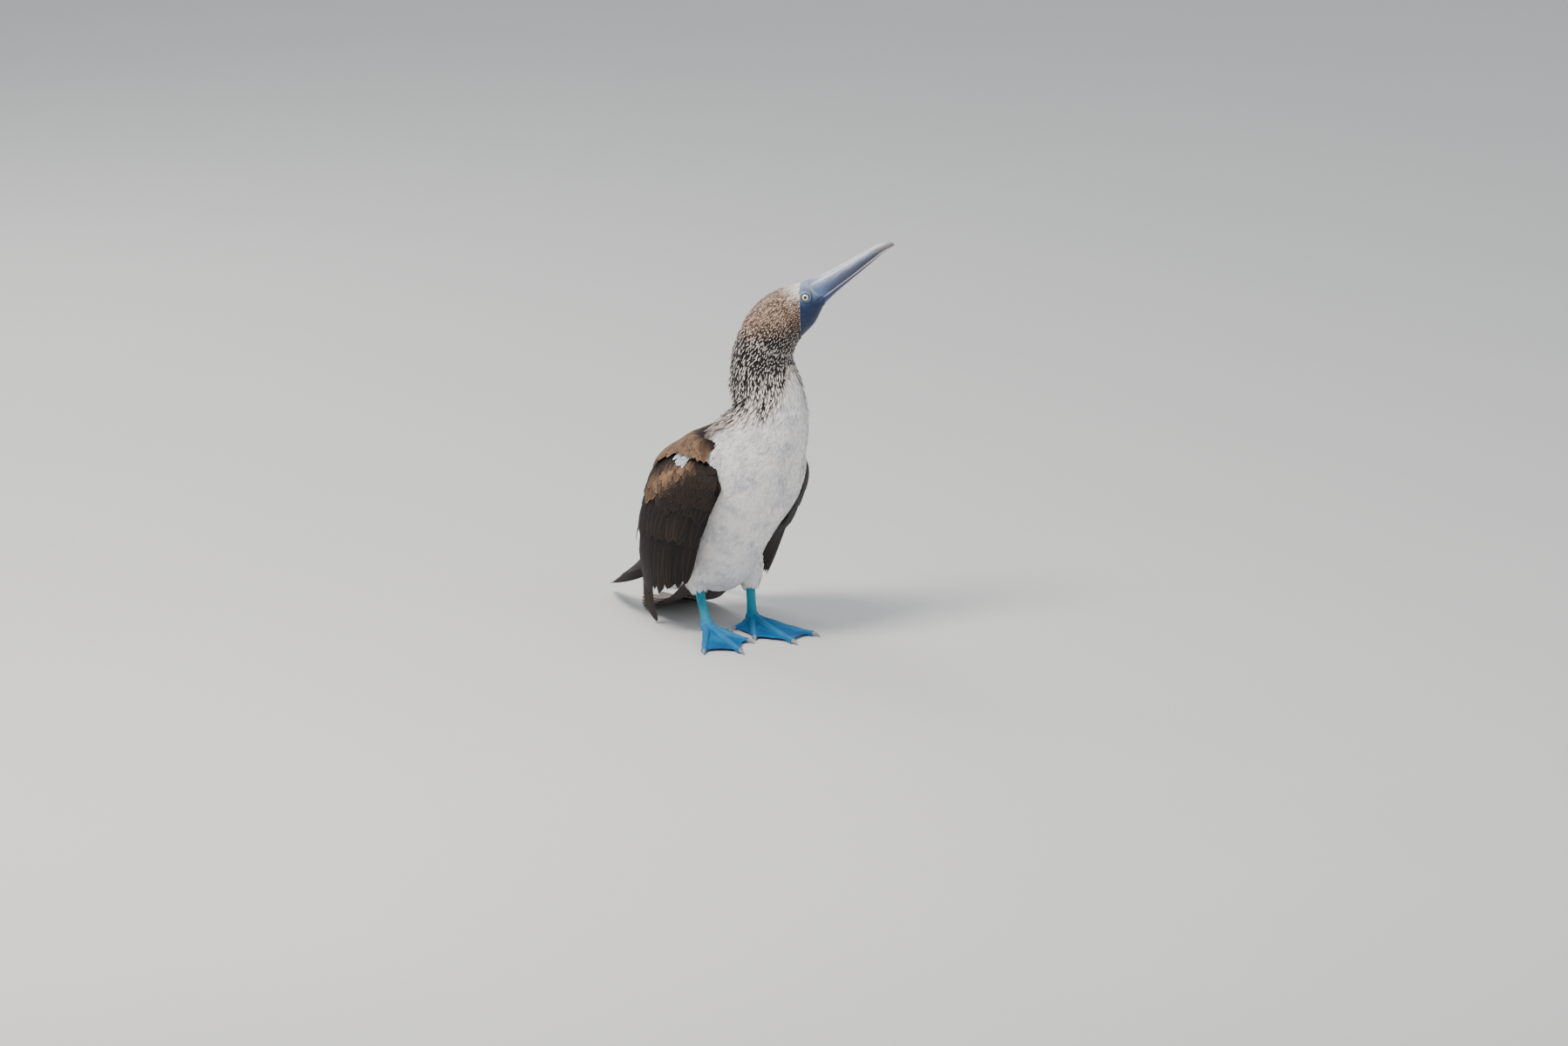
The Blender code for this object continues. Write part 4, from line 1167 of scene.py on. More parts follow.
    @staticmethod
    def thigh_path(side: Side) -> list[np.ndarray]:
        """Centre line of a feathered thigh."""
        x, y, _ = SHANK_TOPS[side.value]
        return [np.array(p, dtype=float) for p in (
            (side.sign * 25.0, 6.0, 96.0), (side.sign * 26.0, 8.0, 74.0),
            (x, y, 58.0), (x, y - 3.0, THIGH_END))]

    def coat_roots(self, low: float, high: float, table: np.ndarray,
                   rng: np.random.Generator) -> tuple[np.ndarray, np.ndarray]:
        """Staggered roots over a range of stations.

        Args:
            low: First station.
            high: Last station.
            table: The coat's table, with its row steps and gaps.
            rng: Seeded random numbers.

        Returns:
            Turns round the body and shares along it.
        """
        turns, shares = [], []
        place, odd = low, 0.0
        while place < high:
            share = place / self.last
            ring, _ = self.surface.at(np.arange(64) / 64.0, np.full(64, share))
            edges = np.linalg.norm(ring - np.roll(ring, 1, axis=0), axis=1)
            _, long = self.surface.strides(np.array((0.0, 0.25, 0.5, 0.75)),
                                           np.full(4, share))
            row_step, gap = (float(np.interp(place, table[:, 0], table[:, k]))
                             for k in (3, 4))
            count = max(8, int(float(edges.sum()) / gap))
            step = row_step / (float(np.max(long)) / self.last)
            around = np.arange(count) + odd + rng.uniform(-0.3, 0.3, count)
            turns.append(around / count)
            shares.append(share + rng.uniform(-0.35, 0.35, count) * step / self.last)
            place += step
            odd = 0.5 - odd
        return np.concatenate(turns), np.clip(np.concatenate(shares), 0.0, 1.0)

    def coat(self, low: float, high: float, kind: Coat, seed: int) -> Feathers:
        """Feathers over a range of stations.

        Args:
            low: First station.
            high: Last station.
            kind: Their form and their sizes along the body.
            seed: Seed of their variation.

        Returns:
            The feathers.
        """
        rng = np.random.default_rng(seed)
        table = np.array(kind.table)
        turns, shares = self.coat_roots(low, high, table, rng)
        roots, _ = self.surface.at(turns, shares)
        bare = bare_share(roots)
        keep = bare < rng.uniform(0.2, 1.1, len(roots))
        turns, shares, roots, bare = turns[keep], shares[keep], roots[keep], bare[keep]
        count = len(turns)
        near = smooth(0.0, 10.0, -bare)
        place = shares * self.last
        lengths, halves, lifts = (np.interp(place, table[:, 0], table[:, k])
                                  for k in (1, 2, 5))
        lengths = lengths * rng.uniform(.8, 1.2, count) * (0.65 + 0.35 * near)
        halves = halves * rng.uniform(.8, 1.2, count) * (0.85 + 0.15 * near)
        lifts = lifts * rng.uniform(.2, 1.6, count) * (0.3 + 0.7 * near)
        strewn = roots.copy()
        strewn[:, 2] += rng.normal(0.0, 4.0, count) - 0.5 * lengths
        marks = self.markings(strewn, np.sin(math.tau * turns))
        marks = np.clip(marks * rng.uniform(0.85, 1.15, (count, 1)), 0.0, 1.0)
        grown = 1.0 + 0.55 * marks[:, 0]
        return lay_feathers(self.surface, turns, shares, lengths * grown,
                            halves * grown, kind.barb, marks, rng, kind.sideways,
                            lifts, -1.0)

    def thigh_coat(self, side: Side, seed: int) -> Feathers:
        """Small white feathers down a thigh to the bare shank."""
        rng = np.random.default_rng(seed)
        path = self.thigh_path(side)
        rings = rings_along(path, (*THIGH_RADII, 9.4), 48, 25, -1.0)
        surface = Surface(rings.transpose(1, 0, 2), True)
        if np.dot(surface.normals[0, 12], surface.points[0, 12] - path[1]) < 0.0:
            surface.normals = -surface.normals
        rows, per_row = 15, 34
        row = np.repeat(np.arange(rows), per_row)
        count = len(row)
        turn = np.tile(np.arange(per_row) / per_row, rows) + row % 2 * 0.5 / per_row
        turn = turn + rng.uniform(-0.012, 0.012, count)
        made = lay_feathers(surface, turn, np.linspace(0.2, 0.93, rows)[row],
                            rng.uniform(7.0, 10.5, count), rng.uniform(1.4, 2.0, count),
                            Barb(sink=1.2, point=1.7, round=0.8, soft=0.6),
                            stacked(count, 0.0, 0.0, 0.0), rng, 0.22, (0.5, 2.4))
        made.seat[:, 1] = 0.05 + 0.1 * made.seat[:, 1]
        return made

    def build(self) -> None:
        """Make the skin and every piece of the coat."""
        plumage = self.finish.make()
        skin = self.build_skin()
        settle(skin, "body_white", ("torso", "neck", "head"), plumage, self.face.make())
        self.bare_faces(skin)
        legs = [self.thigh_coat(side, 20 + k) for k, side in enumerate(Side)]
        for name, low, high, seed, more in (("belly", 0.3, 4.2, 11, legs),
                                            ("breast", 4.2, 10.6, 10, [])):
            vanes = self.coat(low, high, SOFT, seed)
            pale = vanes.mark[:, 0, 0, 1] < 0.45
            keep = pale | (vanes.seat[:, 1] * self.last < 8.2)
            wisps = self.coat(low + 0.1, high, DOWN, seed + 30)
            white = wisps.mark[:, 0, 0, 1] < 0.5
            for tail, groups in (("", [vanes.only(keep)] + more),
                                 ("_down", [wisps.only(white)])):
                settle(feather_mesh("coat_" + name + tail, groups), "body_white", (),
                       plumage)
        hackles = self.coat(6.2, 12.4, HACKLES, 12)
        ruff = self.coat(8.3, 9.6, RUFF, 15)
        dark = hackles.mark[:, 0, 0, 1] > 0.20
        rear = np.sin(math.tau * ruff.seat[:, 0]) > 0.15
        for name, groups in (("neck", [hackles.only(dark), ruff.only(rear)]),
                             ("head", [self.coat(12.0, 15.95, CROWN, 13)])):
            settle(feather_mesh("coat_" + name, groups), "neck_streaked", (), plumage)


@dataclass
class Wing:
    """A folded wing: its core, coverts, scapulars and flight feathers."""

    side: Side
    material: bpy.types.Material
    surface: Surface = field(init=False)
    # count, across first and last, root first and last, tip first and last,
    # half width, rise, tan share: secondaries, tertials, greater and median coverts
    tiers: tuple = (
        (15, .05, .68, .50, .46, 1.00, 1.03, 7.4, -3.0, .00),
        (5, .70, .92, .42, .36, 1.06, .94, 9.5, -1.8, .02),
        (14, .05, .68, .34, .30, .70, .64, 7.2, -.7, .00),
        (13, .06, .67, .22, .18, .48, .43, 7.2, .5, .00),
    )
    # across first and last, down first and last, step down, gap across, length,
    # half width, rise, tan share, which the painted sunlit band scales
    coverts: tuple = (
        (.03, .68, .00, .30, .030, .032, 23.0, 5.0, 1.2, .8),
        (.66, 1.0, .08, .34, .040, .045, 32.0, 6.4, 2.0, .5),
        (.68, .98, .34, .56, .055, .06, 40.0, 7.6, 1.2, .3),
    )
    # across, and how far down the scapulars' edge lies there
    cape_edge: tuple = ((0.0, .12, .25, .38, .50, .62, .80, 1.0),
                        (.40, .42, .46, .62, .86, .96, .80, .60))

    def __post_init__(self) -> None:
        """Work out the wing's outer surface in the right wing's hand."""
        wide, long = 49, 61
        lines = [sampled(row, wide) for row in self.net()]
        points = [sampled([line[i] for line in lines], long) for i in range(wide)]
        self.surface = Surface(np.array(points), False, (-1.0, 0.1, 0.3))

    def net(self) -> list[list[tuple[float, float, float]]]:
        """The net of the wing's face, tucked in on the left."""
        if self.side is Side.RIGHT:
            return [list(row) for row in WING_NET]
        out_top, out_low, rear_top, rear_low = LEFT_WING_TUCK
        rows = []
        for i, row in enumerate(WING_NET):
            down = i / (len(WING_NET) - 1.0)
            rows.append([(x + (1.0 - j / 5.0) * (out_top + out_low * down ** 2),
                          y + (1.0 - j / 5.0) * (rear_top + rear_low * down ** 1.5), z)
                         for j, (x, y, z) in enumerate(row)])
        return rows

    def seeded(self, offset: int) -> np.random.Generator:
        """Seeded random numbers for one group of this wing's feathers."""
        seed = 100 if self.side is Side.RIGHT else 200
        return np.random.default_rng(seed + offset)

    def core(self) -> bpy.types.Object:
        """Closed body of the wing under its feathers."""
        wide, long = 25, 17
        across = np.repeat(np.linspace(0.0, 1.0, wide), long)
        along = np.tile(np.linspace(0.0, CORE_END, long), wide)
        outer, normals = self.surface.at(across, along)
        left = np.clip(1.0 - along / CORE_END, 0.0, 1.0)
        edge = 0.6 + 0.4 * np.sin(math.pi * across)
        depth = 3.4 + CORE_DEPTH * left ** 0.6 * edge
        face = (outer - normals * 1.2).reshape(wide, long, 3)
        inner = (outer - normals * depth[:, None]).reshape(wide, long, 3)
        rings = np.concatenate((face, inner[:, ::-1]), axis=1)
        if self.side is Side.LEFT:
            rings = rings[:, ::-1] * MIRROR
        piece = Bench.wrap("wing_core_" + self.side.value, rings)
        write_layer(piece.data, "vane", (0.4, 0.3, 0.4))
        write_layer(piece.data, "mark", (0.1, 0.0, 0.0))
        return piece

    @staticmethod
    def worn(across: np.ndarray, tips: np.ndarray) -> np.ndarray:
        """Share of tan painted as sunlight where feathers' tips lie in the lit band
        under the cape.
        """
        middle = 0.07 + 1.15 * (across - 0.20)
        band = np.exp(-((tips - middle) / 0.085) ** 2)
        return band * smooth(0.04, 0.15, across) * smooth(0.66, 0.52, across)

    def tier(self, row: tuple, rng: np.random.Generator) -> Feathers:
        """Feathers of one tier laid side by side."""
        count, first, last, root_a, root_b, tip_a, tip_b, half, rise, tan = row
        share = np.arange(count) / (count - 1.0)
        across = first + (last - first) * share + rng.uniform(-.006, .006, count)
        root = root_a + (root_b - root_a) * share
        tip = tip_a + (tip_b - tip_a) * share + rng.uniform(-.02, .02, count)
        barb = Barb(rows=10, columns=5, camber=0.06, point=2.6, widest=0.4, root=0.6,
                    rise=rise, lift=1.1, sink=3.0, lean=0.10, soft=0.25)
        _, long = self.surface.strides(across, (root + np.minimum(tip, 1.0)) / 2.0)
        # painted sunlight: tan added where the tips lie in the lit band
        tan = tan + self.worn(across, tip) * 0.45 + rng.uniform(-.03, .03, count)
        marks = stacked(count, np.clip(tan, 0.0, 1.0), 0.0, 0.0)
        return lay_feathers(self.surface, across, root, (tip - root) * long,
                            half * rng.uniform(.92, 1.08, count), barb, marks, rng,
                            0.03)

    def small(self, row: tuple, rng: np.random.Generator) -> Feathers:
        """Rows of small coverts over part of the wing."""
        first, last, top, end, step, gap, length, half, rise, tan = row
        across, along = [], []
        for k, down in enumerate(np.arange(top, end, step)):
            line = np.arange(first, last, gap) + (gap / 2.0 if k % 2 else 0.0)
            across.append(line + rng.uniform(-.25, .25, len(line)) * gap)
            along.append(down + rng.uniform(-.3, .3, len(line)) * step)
        across = np.minimum(np.concatenate(across), 0.97)
        along = np.maximum(np.concatenate(along), 0.004)
        count = len(across)
        _, long = self.surface.strides(across, along)
        # painted sunlight: the small coverts' tan shows only in the lit band
        worn = 0.02 + 0.98 * self.worn(across, along + length / long)
        marks = stacked(count, np.clip(tan * worn * rng.uniform(0.5, 1.4, count), 0, 1),
                        0.0, 0.0)
        barb = Barb(rows=7, camber=0.10, rise=rise, sink=2.2, lean=0.06)
        return lay_feathers(self.surface, across, along,
                            length * rng.uniform(.85, 1.15, count),
                            half * rng.uniform(.85, 1.15, count), barb, marks, rng,
                            0.08)

    def cape(self, trunk: Surface) -> Surface:
        """Sheet from the shoulder over the wing's upper edge, for the scapulars."""
        body = trunk.points.reshape(-1, 3)
        if self.side is Side.LEFT:
            body = body * MIRROR
        wide, long = 33, 25
        points = []
        for i in range(wide):
            across = np.full(4, 0.10 + 0.90 * i / (wide - 1.0))
            spots, normals = self.surface.at(across, np.array((0.0, 0.10, 0.22, 0.36)))
            target = spots[0] + np.array((2.0, -16.0, 18.0))
            top = body[np.argmin(np.linalg.norm(body - target, axis=1))]
            puff = 1.0 - 0.35 * float(smooth(0.45, 0.90, i / (wide - 1.0)))
            middle = 0.5 * (top + spots[0]) + np.array((-2.0, 2.0, 5.0)) * puff
            line = [top + np.array((0.0, 0.0, 0.3)), middle,
                    spots[0] + (normals[0] * 4.0 + np.array((0.0, 0.0, 3.0))) * puff]
            line.extend(spots[k] + normals[k] * height * puff
                        for k, height in ((1, 5.0), (2, 4.4), (3, 3.6)))
            points.append(sampled(line, long))
        points = np.array(points)
        for _ in range(3):
            points[1:-1] = (points[:-2] + 2.0 * points[1:-1] + points[2:]) / 4.0
        return Surface(points, False, (-1.0, 0.1, 0.8))

    def scapulars(self, trunk: Surface, rng: np.random.Generator) -> Feathers:
        """Tan-edged feathers that hang over the wing's upper edge as a cape."""
        sheet = self.cape(trunk)
        across, along, lengths = [], [], []
        rows, per_row = 9, 19
        for k in range(rows):
            line = (np.arange(per_row) + (0.5 if k % 2 else 0.0)) / per_row
            line = line + rng.uniform(-0.01, 0.01, per_row)
            edge = np.interp(line, *self.cape_edge)
            _, long = sheet.strides(line, np.full(per_row, 0.5))
            length = rng.uniform(20.0, 25.0, per_row) + 0.8 * k
            across.append(line)
            along.append((edge - length / long) * (k + rng.uniform(-.2, .2, per_row))
                         / (rows - 1.0))
            lengths.append(length)
        first = 0.0 if self.side is Side.RIGHT else 0.12
        across = first + np.concatenate(across) * (1.0 - first)
        count = len(across)
        marks = stacked(count, rng.uniform(0.25, 0.8, count), 0.0, 0.0)
        barb = Barb(rows=7, camber=0.10, point=2.0, rise=0.4, lift=1.4, sink=2.0,
                    lean=0.05, soft=0.3)
        return lay_feathers(sheet, across, np.clip(np.concatenate(along), 0.0, 1.0),
                            np.concatenate(lengths), rng.uniform(4.6, 5.8, count), barb,
                            marks, rng, 0.08)

    def patch(self, rng: np.random.Generator, count: int = 26) -> Feathers:
        """Small white feathers in the shadow under the scapulars' edge."""
        marks = stacked(count, 0.0, 0.0, rng.uniform(0.75, 1.0, count))
        spread = [rng.uniform(*span, count) for span in (
            (.28, .43), (.005, .07), (11.0, 15.0), (2.6, 3.6))]
        barb = Barb(rows=6, camber=0.12, rise=2.6, lift=1.4, sink=2.0, soft=0.5)
        return lay_feathers(self.surface, *spread, barb, marks, rng, 0.2)

    def primaries(self, count: int = 6) -> Feathers:
        """Long feathers stacked along the wing's lower edge to its tip."""
        path = PRIMARY_PATHS[self.side.value]
        barb = Barb(rows=16, columns=5, camber=0.06, widest=0.3, root=0.55, soft=0.1)
        centres, normals = np.empty((2, count, barb.rows, 3))
        for k in range(count):
            stack = 3.0 * k / (count - 1.0)
            for i, run in enumerate((1.0 - 0.062 * stack) * barb.runs()):
                way = slope(path, 3.0 * run, 0.05)
                normal = unit(np.array((-1.0 + 0.9 * run, 0.0, 0.35 + 0.5 * run)))
                normal = unit(normal - way * np.dot(normal, way))
                sideways = np.cross(way, normal)
                shift = 3.2 * stack * (1.0 - 0.25 * run)
                centres[k, i] = (spline(path, 3.0 * run) + normal * 1.55 * stack
                                 + sideways * shift * np.sign(sideways[2]))
                normals[k, i] = normal
        return shape_feathers(centres, normals, np.full(count, 10.5), barb,
                              stacked(count, 0.0, 0.0, 0.0),
                              stacked(count, np.linspace(.1, .4, count), .95),
                              np.linspace(0.1, 0.9, count))

    def droop(self) -> Feathers:
        """The one feather that hangs down behind the leg to the floor's level."""
        barb = Barb(rows=14, columns=5, camber=0.12, point=2.4, widest=0.4, soft=0.1)
        centres = np.array([[spline(DROOP_PATH, 3.0 * run) for run in barb.runs()]])
        normals = np.tile(unit((-0.85, -0.50, 0.12)), (1, barb.rows, 1))
        return shape_feathers(centres, normals, np.array((6.4,)), barb,
                              stacked(1, 0.0, 0.12, 0.0), stacked(1, .5, .97),
                              np.array((0.4,)))

    def build(self, trunk: Surface) -> None:
        """Make the wing's core and its feathers.

        Args:
            trunk: The body's surface, which the scapulars spring from.
        """
        groups = [self.tier(row, self.seeded(k)) for k, row in enumerate(self.tiers)]
        groups += [self.small(row, self.seeded(10 + k))
                   for k, row in enumerate(self.coverts)]
        groups += [self.scapulars(trunk, self.seeded(13)), self.primaries()]
        if self.side is Side.RIGHT:
            groups += [self.patch(self.seeded(14)), self.droop()]
        else:
            groups = [group.mirrored() for group in groups]
        name = "wing_" + self.side.value
        settle(self.core(), "wing_brown", (), self.material)
        settle(feather_mesh("feathers_" + name, groups), "wing_brown", (name,),
               self.material)


@dataclass
class Tail:
    """Wedge of long feathers with its upper and under coverts."""

    material: bpy.types.Material
    coverts: bpy.types.Material
    pairs: int = 6
    covert_steps: int = 12

    @staticmethod
    def line(length: float, turn: float, drop: float, runs: np.ndarray
             ) -> tuple[np.ndarray, np.ndarray]:
        """Centre line and normals of a tail feather.

        Args:
            length: Length along the shaft.
            turn: Degrees that it spreads from the middle.
            drop: How far under the top feather it starts.
            runs: Shares of the length where points are wanted.

        Returns:
            Points and unit normals.
        """
        steps = 80
        start, end = TAIL_SLOPES
        spots, falls = [np.array(TAIL_ROOT) - (0.0, 0.0, drop)], []
        sway = math.radians(turn)
        stride = length / steps
        for k in range(steps + 1):
            bend = max(0.0, 1.0 - k * length / (steps * TAIL_LENGTH)) ** TAIL_BEND
            fall = math.radians(end + (start - end) * bend)
            falls.append(fall)
            spots.append(spots[-1] + stride * np.array(
                (math.sin(sway), math.cos(fall) * math.cos(sway),
                 -math.sin(fall) * math.cos(sway))))
        places = np.linspace(0.0, 1.0, steps + 1)
        points = np.stack([np.interp(runs, places, axis)
                           for axis in np.array(spots[:-1]).T], -1)
        fall = np.interp(runs, places, falls)
        return points, np.stack((np.zeros_like(fall), np.sin(fall), np.cos(fall)), -1)

    def rectrices(self) -> Feathers:
        """The long tail feathers, the middle pair on top."""
        barb = Barb(rows=15, columns=5, camber=0.06, point=2.4, widest=0.4, root=0.6,
                    soft=0.1)
        centres, normals = [], []
        for k in range(self.pairs):
            share = (k + 0.5) / self.pairs
            length = TAIL_LENGTH * (1.0 - (1.0 - TAIL_OUTER) * share ** 1.1)
            for sign in (-1.0, 1.0):
                drop = 0.81 * (2 * k + 0.5 + 0.5 * sign) + 0.35
                line, normal = self.line(length, sign * (1.4 + TAIL_SPREAD * share),
                                         drop, barb.runs())
                centres.append(line + np.array((sign * (1.0 + 13.0 * share), 0, 0)))
                normals.append(normal)
        count = len(centres)
        return shape_feathers(np.array(centres), np.array(normals),
                              np.full(count, 10.6), barb,
                              stacked(count, 0.0, np.linspace(0.85, 0.35, count), 0.0),
                              stacked(count, np.linspace(.2, .8, count), .02),
                              np.linspace(0.05, 0.95, count))

    def covert_rows(self, above: bool, seed: int) -> Feathers:
        """Small feathers over or under the roots of the tail."""
        rng = np.random.default_rng(seed)
        barb = Barb(rows=8, camber=0.12, point=1.8, round=0.7, widest=0.5, soft=0.5)
        run = barb.runs()
        side = 1.0 if above else -1.0
        centres, normals = [], []
        for k in range(self.covert_steps):
            turns = np.linspace(-34.0, 34.0, 21) + (1.7 if k % 2 else 0.0)
            for turn in turns + rng.uniform(-1.2, 1.2, len(turns)):
                length = (rng.uniform(22.0, 34.0) + 4.2 * k - 0.25 * abs(turn)
                          + (22.0 - 1.4 * k) * above)
                line, normal = self.line(length, turn * 0.5, 0.0, run)
                lift = side * (17.0 * (1.0 - run) ** 1.3 + 4.6 - 0.22 * k)
                line = line + normal * lift[:, None]
                line[:, 0] += turn * (0.85 - 0.25 * run)
                line[:, 2] -= 0.010 * turn ** 2 * side * (1.0 - run)
                centres.append(line)
                normals.append(unit(normal * side + np.array((0.012 * turn, 0, 0))))
        count = len(centres)
        row = np.repeat(np.arange(self.covert_steps), count // self.covert_steps)
        brown = smooth(3.0, 7.0, row) * rng.uniform(0.7, 1.0, count) * above
        return shape_feathers(np.array(centres), np.array(normals),
                              rng.uniform(2.4, 3.4, count), barb,
                              stacked(count, brown, 0.0, 0.0),
                              stacked(count, np.linspace(.1, .9, count), .04),
                              rng.uniform(0.0, 1.0, count))

    def build(self) -> None:
        """Make the tail."""
        settle(feather_mesh("feathers_tail", [self.rectrices()]), "wing_brown",
               ("tail",), self.material)
        coverts = [self.covert_rows(True, 301), self.covert_rows(False, 302)]
        settle(feather_mesh("coverts_tail", coverts), "body_white", (), self.coverts)


@dataclass
class Bill:
    """Upper and lower halves of the bill."""

    finish: BillFinish = BillFinish()
    rings: int = 96
    arc: int = 22
    slit: float = 0.5

    def half(self, upper: bool) -> bpy.types.Object:
        """One half, with its groove and the fine teeth of its cutting edge."""
        made = []
        for i, row in enumerate(sampled(BILL_STATIONS, self.rings + 1)):
            run, top, bottom, half, mouth = row
            centre = BILL_BASE + ALONG * (run * (BILL_LENGTH + 1.2) - 1.2)
            centre = centre - UPPER * 3.0 * max(0.0, (run - 0.80) / 0.20) ** 2
            teeth = 0.16 * math.sin(i * 2.3) * float(smooth(0.25, 0.4, run)
                                                     * smooth(0.97, 0.9, run))
            slit = self.slit * float(smooth(0.0, 0.10, run))
            edge = mouth + (0.5 * slit + teeth if upper else -0.5 * slit)
            reach = max((top - edge) if upper else (edge + bottom), 0.7)
            grooved = float(smooth(0.02, 0.1, run) * smooth(0.95, 0.8, run)) * upper
            ring = []
            for angle in (math.pi * j / self.arc for j in range(self.arc + 1)):
                rise = math.sin(angle) ** 0.8 * reach
                groove = 0.07 * math.exp(-((math.sin(angle) - 0.52) / 0.10) ** 2)
                ring.append(centre + LEFT * half * math.cos(angle)
                            * (1.0 - groove * grooved)
                            + UPPER * (edge + (rise if upper else -rise)))
            for j in range(1, 6):
                ring.append(centre + LEFT * half * (-1.0 + j / 3.0)
                            + UPPER * (edge + (0.25 if upper else -0.25)
                                       * math.sin(math.pi * j / 6.0)))
            made.append(ring)
        return Bench.wrap("bill_" + ("upper" if upper else "lower") + "_horn",
                          np.array(made))

    def build(self) -> None:
        """Make both halves."""
        horn = self.finish.make()
        for upper, node in ((True, "bill_upper"), (False, "bill_lower")):
            piece = self.half(upper)
            Bench.pick(piece)
            bpy.ops.object.shade_smooth_by_angle(angle=math.radians(50.0))
            settle(piece, "bill", (node,), horn)


@dataclass
class Eye:
    """An eyeball with its lids."""

    side: Side
    face: bpy.types.Material
    finish: EyeFinish = EyeFinish()
    # distance of the lid's rings from the rim outward, and height over the ball
    profile: tuple = ((0.35, -0.6), (-0.05, 0.15), (0.05, 0.75), (0.75, 0.95),
                      (1.7, 0.75), (2.6, 0.0), (3.2, -1.4), (1.6, -2.0))

    def lids(self) -> bpy.types.Object:
        """Ring of bare skin whose edge lies on the eyeball."""
        centre = eye_centre(self.side)
        outward = LEFT * self.side.sign
        count = 56
        rings = []
        for k in range(count):
            turn = math.tau * k / count
            fore = LID_OPENING[0] * math.cos(turn)
            high = LID_OPENING[1] * math.sin(turn)
            brow = 0.35 * max(0.0, math.sin(turn))
            radial = unit((fore, high))
            ring = []
            for away, height in self.profile:
                a = fore + radial[0] * away
                h = high + radial[1] * (away - brow)
                dome = math.sqrt(max(EYE_RADIUS ** 2 - min(a * a + h * h, 34.0), 0.0))
                ring.append(centre + ALONG * a + UPPER * h
                            + outward * (dome + height + 0.25 * brow))
            rings.append(ring)
        rings.append(rings[0])
        piece = Bench.wrap("lids_" + self.side.value, np.array(rings), caps=False)
        Bench.modify(piece, "SUBSURF", levels=1, render_levels=1)
        return piece

    def ball(self) -> bpy.types.Object:
        """Eyeball whose clear front stands a little proud."""
        centre = eye_centre(self.side)
        piece = Bench.ball("eyeball_" + self.side.value, centre, EYE_RADIUS, 40, 28)
        outward = Vector(LEFT * self.side.sign)
        for vertex in piece.data.vertices:
            offset = vertex.co - Vector(placed(centre))
            front = max(0.0, offset.normalized().dot(outward) - 0.72) / 0.28
            vertex.co += outward * 0.45 * MM * front
        return piece

    def build(self) -> None:
        """Make the ball and the lids."""
        settle(self.ball(), "eye", ("eye_" + self.side.value,),
               self.finish.make(self.side))
        settle(self.lids(), "bill", (), self.face)


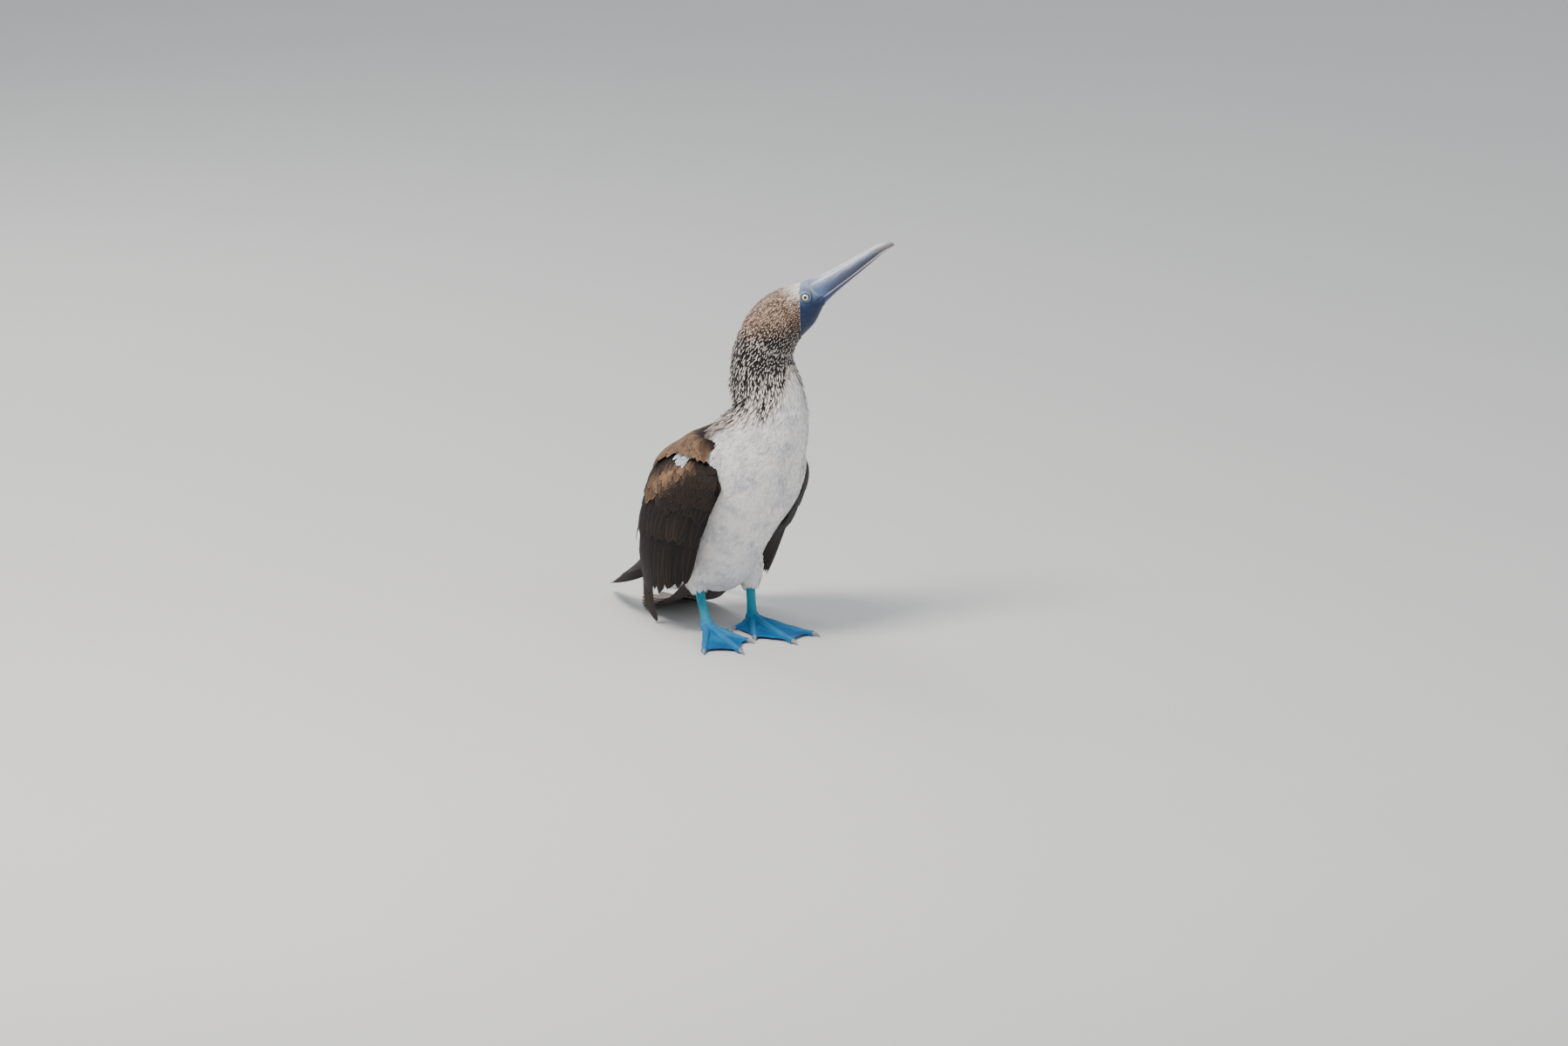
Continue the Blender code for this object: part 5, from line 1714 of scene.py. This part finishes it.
@dataclass
class Foot:
    """A shank with its webbed foot and claws."""

    side: Side
    skin: bpy.types.Material
    horn: bpy.types.Material
    voxel: float = 0.62

    def toe(self, angle: float, length: float) -> list[np.ndarray]:
        """Centre line of a toe from the foot joint to its tip."""
        turn = math.radians(angle)
        way = np.array((self.side.sign * math.sin(turn), -math.cos(turn), 0.0))
        x, y = FOOT_JOINTS[self.side.value]
        points = []
        for run in (i / 6.0 for i in range(7)):
            height = 3.1 + (JOINT_HEIGHT - 8.0) * (1.0 - run) ** 1.6
            points.append(np.array((x, y, height)) + way * length * run)
        return points

    def web(self, paths: Sequence[Sequence[np.ndarray]]) -> bpy.types.Object:
        """Thin web between the toes, sagging and scalloped at its edge."""
        long, wide = 20, 40
        count = len(paths) - 1
        top = np.empty((long + 1, wide + 1, 3))
        for i, j in np.ndindex(long + 1, wide + 1):
            run = 0.10 + 0.87 * i / long
            place = count * j / wide
            k = min(int(place), count - 1)
            f = place - k
            bow = 4.0 * f * (1.0 - f)
            scoop = 1.0 - (0.09 * run + 0.01 * max(0.0, i - long + 1)) * bow
            a, b = (spline(path, 6.0 * run * scoop) for path in paths[k:k + 2])
            point = a * (1.0 - f) + b * f
            point[2] -= 1.5 * bow * math.sin(math.pi * run)
            ripple = 0.18 * math.sin(26.0 * f + 9.0 * run) * bow
            point[2] = max(point[2] + ripple, 1.7)
            top[i, j] = point
        rings = np.concatenate((top + (0, 0, 0.6), top[:, ::-1] - (0, 0, 0.6)), axis=1)
        return Bench.wrap("web", rings)

    def foot(self) -> bpy.types.Object:
        """Toes, web and joint grown together."""
        paths = [self.toe(angle, length) for _, angle, length, _ in TOES]
        pieces = []
        for (name, _, _, radius), path in zip(TOES, paths):
            radii = []
            for run in (i / 12.0 for i in range(13)):
                knuckle = 0.16 * math.sin(math.pi * (3.0 * run + 0.4)) ** 2
                radii.append(radius * (1.18 - 0.34 * run + knuckle))
            pieces.append(Bench.tube("toe_" + name, sampled(path, 13), radii, 20, 40))
        pieces.append(self.web(paths))
        x, y = FOOT_JOINTS[self.side.value]
        pieces.append(Bench.ball("joint", np.array((x, y - 1.0, JOINT_HEIGHT - 6.5)),
                                 8.2))
        top_x, top_y, _ = SHANK_TOPS[self.side.value]
        low = np.array((x, y, JOINT_HEIGHT - 5.0))
        high = np.array((top_x, top_y - 2.0, THIGH_END + 4.0))
        line = [low + (high - low) * r for r in (0.0, 0.25, 0.6, 1.0)]
        pieces.append(Bench.tube("shank", line, SHANK_RADIUS[::-1], 28, 30))
        made = Bench.join("foot_skin_" + self.side.value, pieces)
        Bench.modify(made, "REMESH", mode="VOXEL", voxel_size=self.voxel * MM,
                     use_smooth_shade=True)
        Bench.modify(made, "SMOOTH", factor=0.5, iterations=3)
        Bench.pick(made)
        bpy.ops.object.mode_set(mode="EDIT")
        bpy.ops.mesh.select_all(action="SELECT")
        bpy.ops.mesh.bisect(plane_co=tuple(placed((0.0, 0.0, 0.02))),
                            plane_no=(0.0, 0.0, 1.0), clear_inner=True, use_fill=True)
        bpy.ops.object.mode_set(mode="OBJECT")
        made.data.shade_smooth()
        return made

    def claws(self) -> list[bpy.types.Object]:
        """A curved claw at the end of each toe."""
        made = []
        for name, angle, length, radius in TOES:
            path = self.toe(angle, length)
            way = unit(path[-1] - path[-2])
            span = CLAW_LENGTH * (0.75 if name == "1" else 1.0)
            start = path[-1] - way * 2.0
            line = [start + way * (2.0 + span * r) + np.array((0.0, 0.0, h))
                    for r, h in ((-0.2, 0.0), (0.1, 0.3), (0.4, 0.4), (0.7, -0.4),
                                 (1.0, -1.9))]
            radii = [radius * 0.66 * taper for taper in (1.0, 1.0, 0.82, 0.52, 0.10)]
            made.append(Bench.tube(f"talon_{self.side.value}_{name}", line, radii,
                                   16, 22))
        return made

    def build(self) -> None:
        """Make the foot with its shank, and the claws."""
        name = self.side.value
        settle(self.foot(), "foot_blue", ("foot_" + name, "leg_" + name), self.skin)
        for toe, claw in zip(TOES, self.claws()):
            settle(claw, "claw", (f"claw_{name}_{toe[0]}",), self.horn)


@dataclass
class Studio:
    """Pale floor, soft lights and the camera at the photograph's angle."""

    floor: FloorFinish = FloorFinish()
    distance: float = 10.0
    sensor: float = 36.0
    # name, place, power, size, colour
    lamps: tuple = (
        ("key", (-1.5, -0.6, 2.4), 78.0, 0.8, (1.0, 0.95, 0.88)),
        ("fill", (1.6, -2.4, 1.2), 14.0, 1.8, (0.90, 0.95, 1.0)),
        ("rim", (-0.4, 2.2, 1.8), 26.0, 1.2, (1.0, 0.98, 0.95)),
    )

    @staticmethod
    def aim(thing: bpy.types.Object, place: Sequence[float], way: Vector) -> None:
        """Put a camera or a lamp at a place and point it in a direction."""
        thing.location = Vector(place)
        thing.rotation_mode = "QUATERNION"
        thing.rotation_quaternion = way.to_track_quat("-Z", "Y")

    def camera(self) -> None:
        """Place the camera so that the bird falls where the photograph has it."""
        a, e = math.radians(VIEW_AZIMUTH), math.radians(VIEW_ELEVATION)
        right = np.array((math.cos(a), math.sin(a), 0.0))
        back = np.array((math.sin(a) * math.cos(e), -math.cos(a) * math.cos(e),
                         math.sin(e)))
        up = np.cross(back, right)
        scale = PIXEL * MM
        (wide, high), (x, y) = PHOTO_SIZE, BIRD_PIXEL
        middle = SHIFT + right * (wide / 2 - x) * scale + up * (y - high / 2) * scale
        lens = bpy.data.cameras.new("view")
        lens.sensor_width = self.sensor
        lens.lens = self.sensor * self.distance / (wide * scale)
        lens.clip_end = 100.0
        camera = link("view", lens)
        self.aim(camera, middle + back * self.distance, Vector(-back))
        bpy.context.scene.camera = camera

    def build(self) -> None:
        """Make floor, world, lights and camera."""
        self.camera()
        Bench.pick()
        bpy.ops.mesh.primitive_plane_add(size=60.0)
        floor = bpy.context.object
        floor.name = "studio_floor"
        floor.data.materials.append(self.floor.make())
        world = bpy.data.worlds.new("soft_room")
        world.use_nodes = True
        sky = world.node_tree.nodes["Background"]
        sky.inputs["Color"].default_value = (0.86, 0.90, 0.96, 1.0)
        sky.inputs["Strength"].default_value = 0.62
        bpy.context.scene.world = world
        for name, place, power, size, colour in self.lamps:
            light = bpy.data.lights.new(name, "AREA")
            light.energy, light.size, light.color = power, size, colour
            self.aim(link(name, light), place, Vector((0.0, 0.0, 0.22)) - Vector(place))


def main() -> None:
    """Build the studio and the bird, piece by piece."""
    logging.basicConfig(level=logging.INFO, format="%(name)s %(message)s")
    Studio().build()
    body = Body()
    body.build()
    flight = FlightFinish().make()
    for side in Side:
        Wing(side, flight).build(body.surface)
    Tail(flight, bpy.data.materials["contour_plumage"]).build()
    Bill().build()
    for side in Side:
        Eye(side, bpy.data.materials["face_skin"]).build()
    skin, horn = FootFinish().make(), ClawFinish().make()
    for side in Side:
        Foot(side, skin, horn).build()


if __name__ == "__main__":
    main()
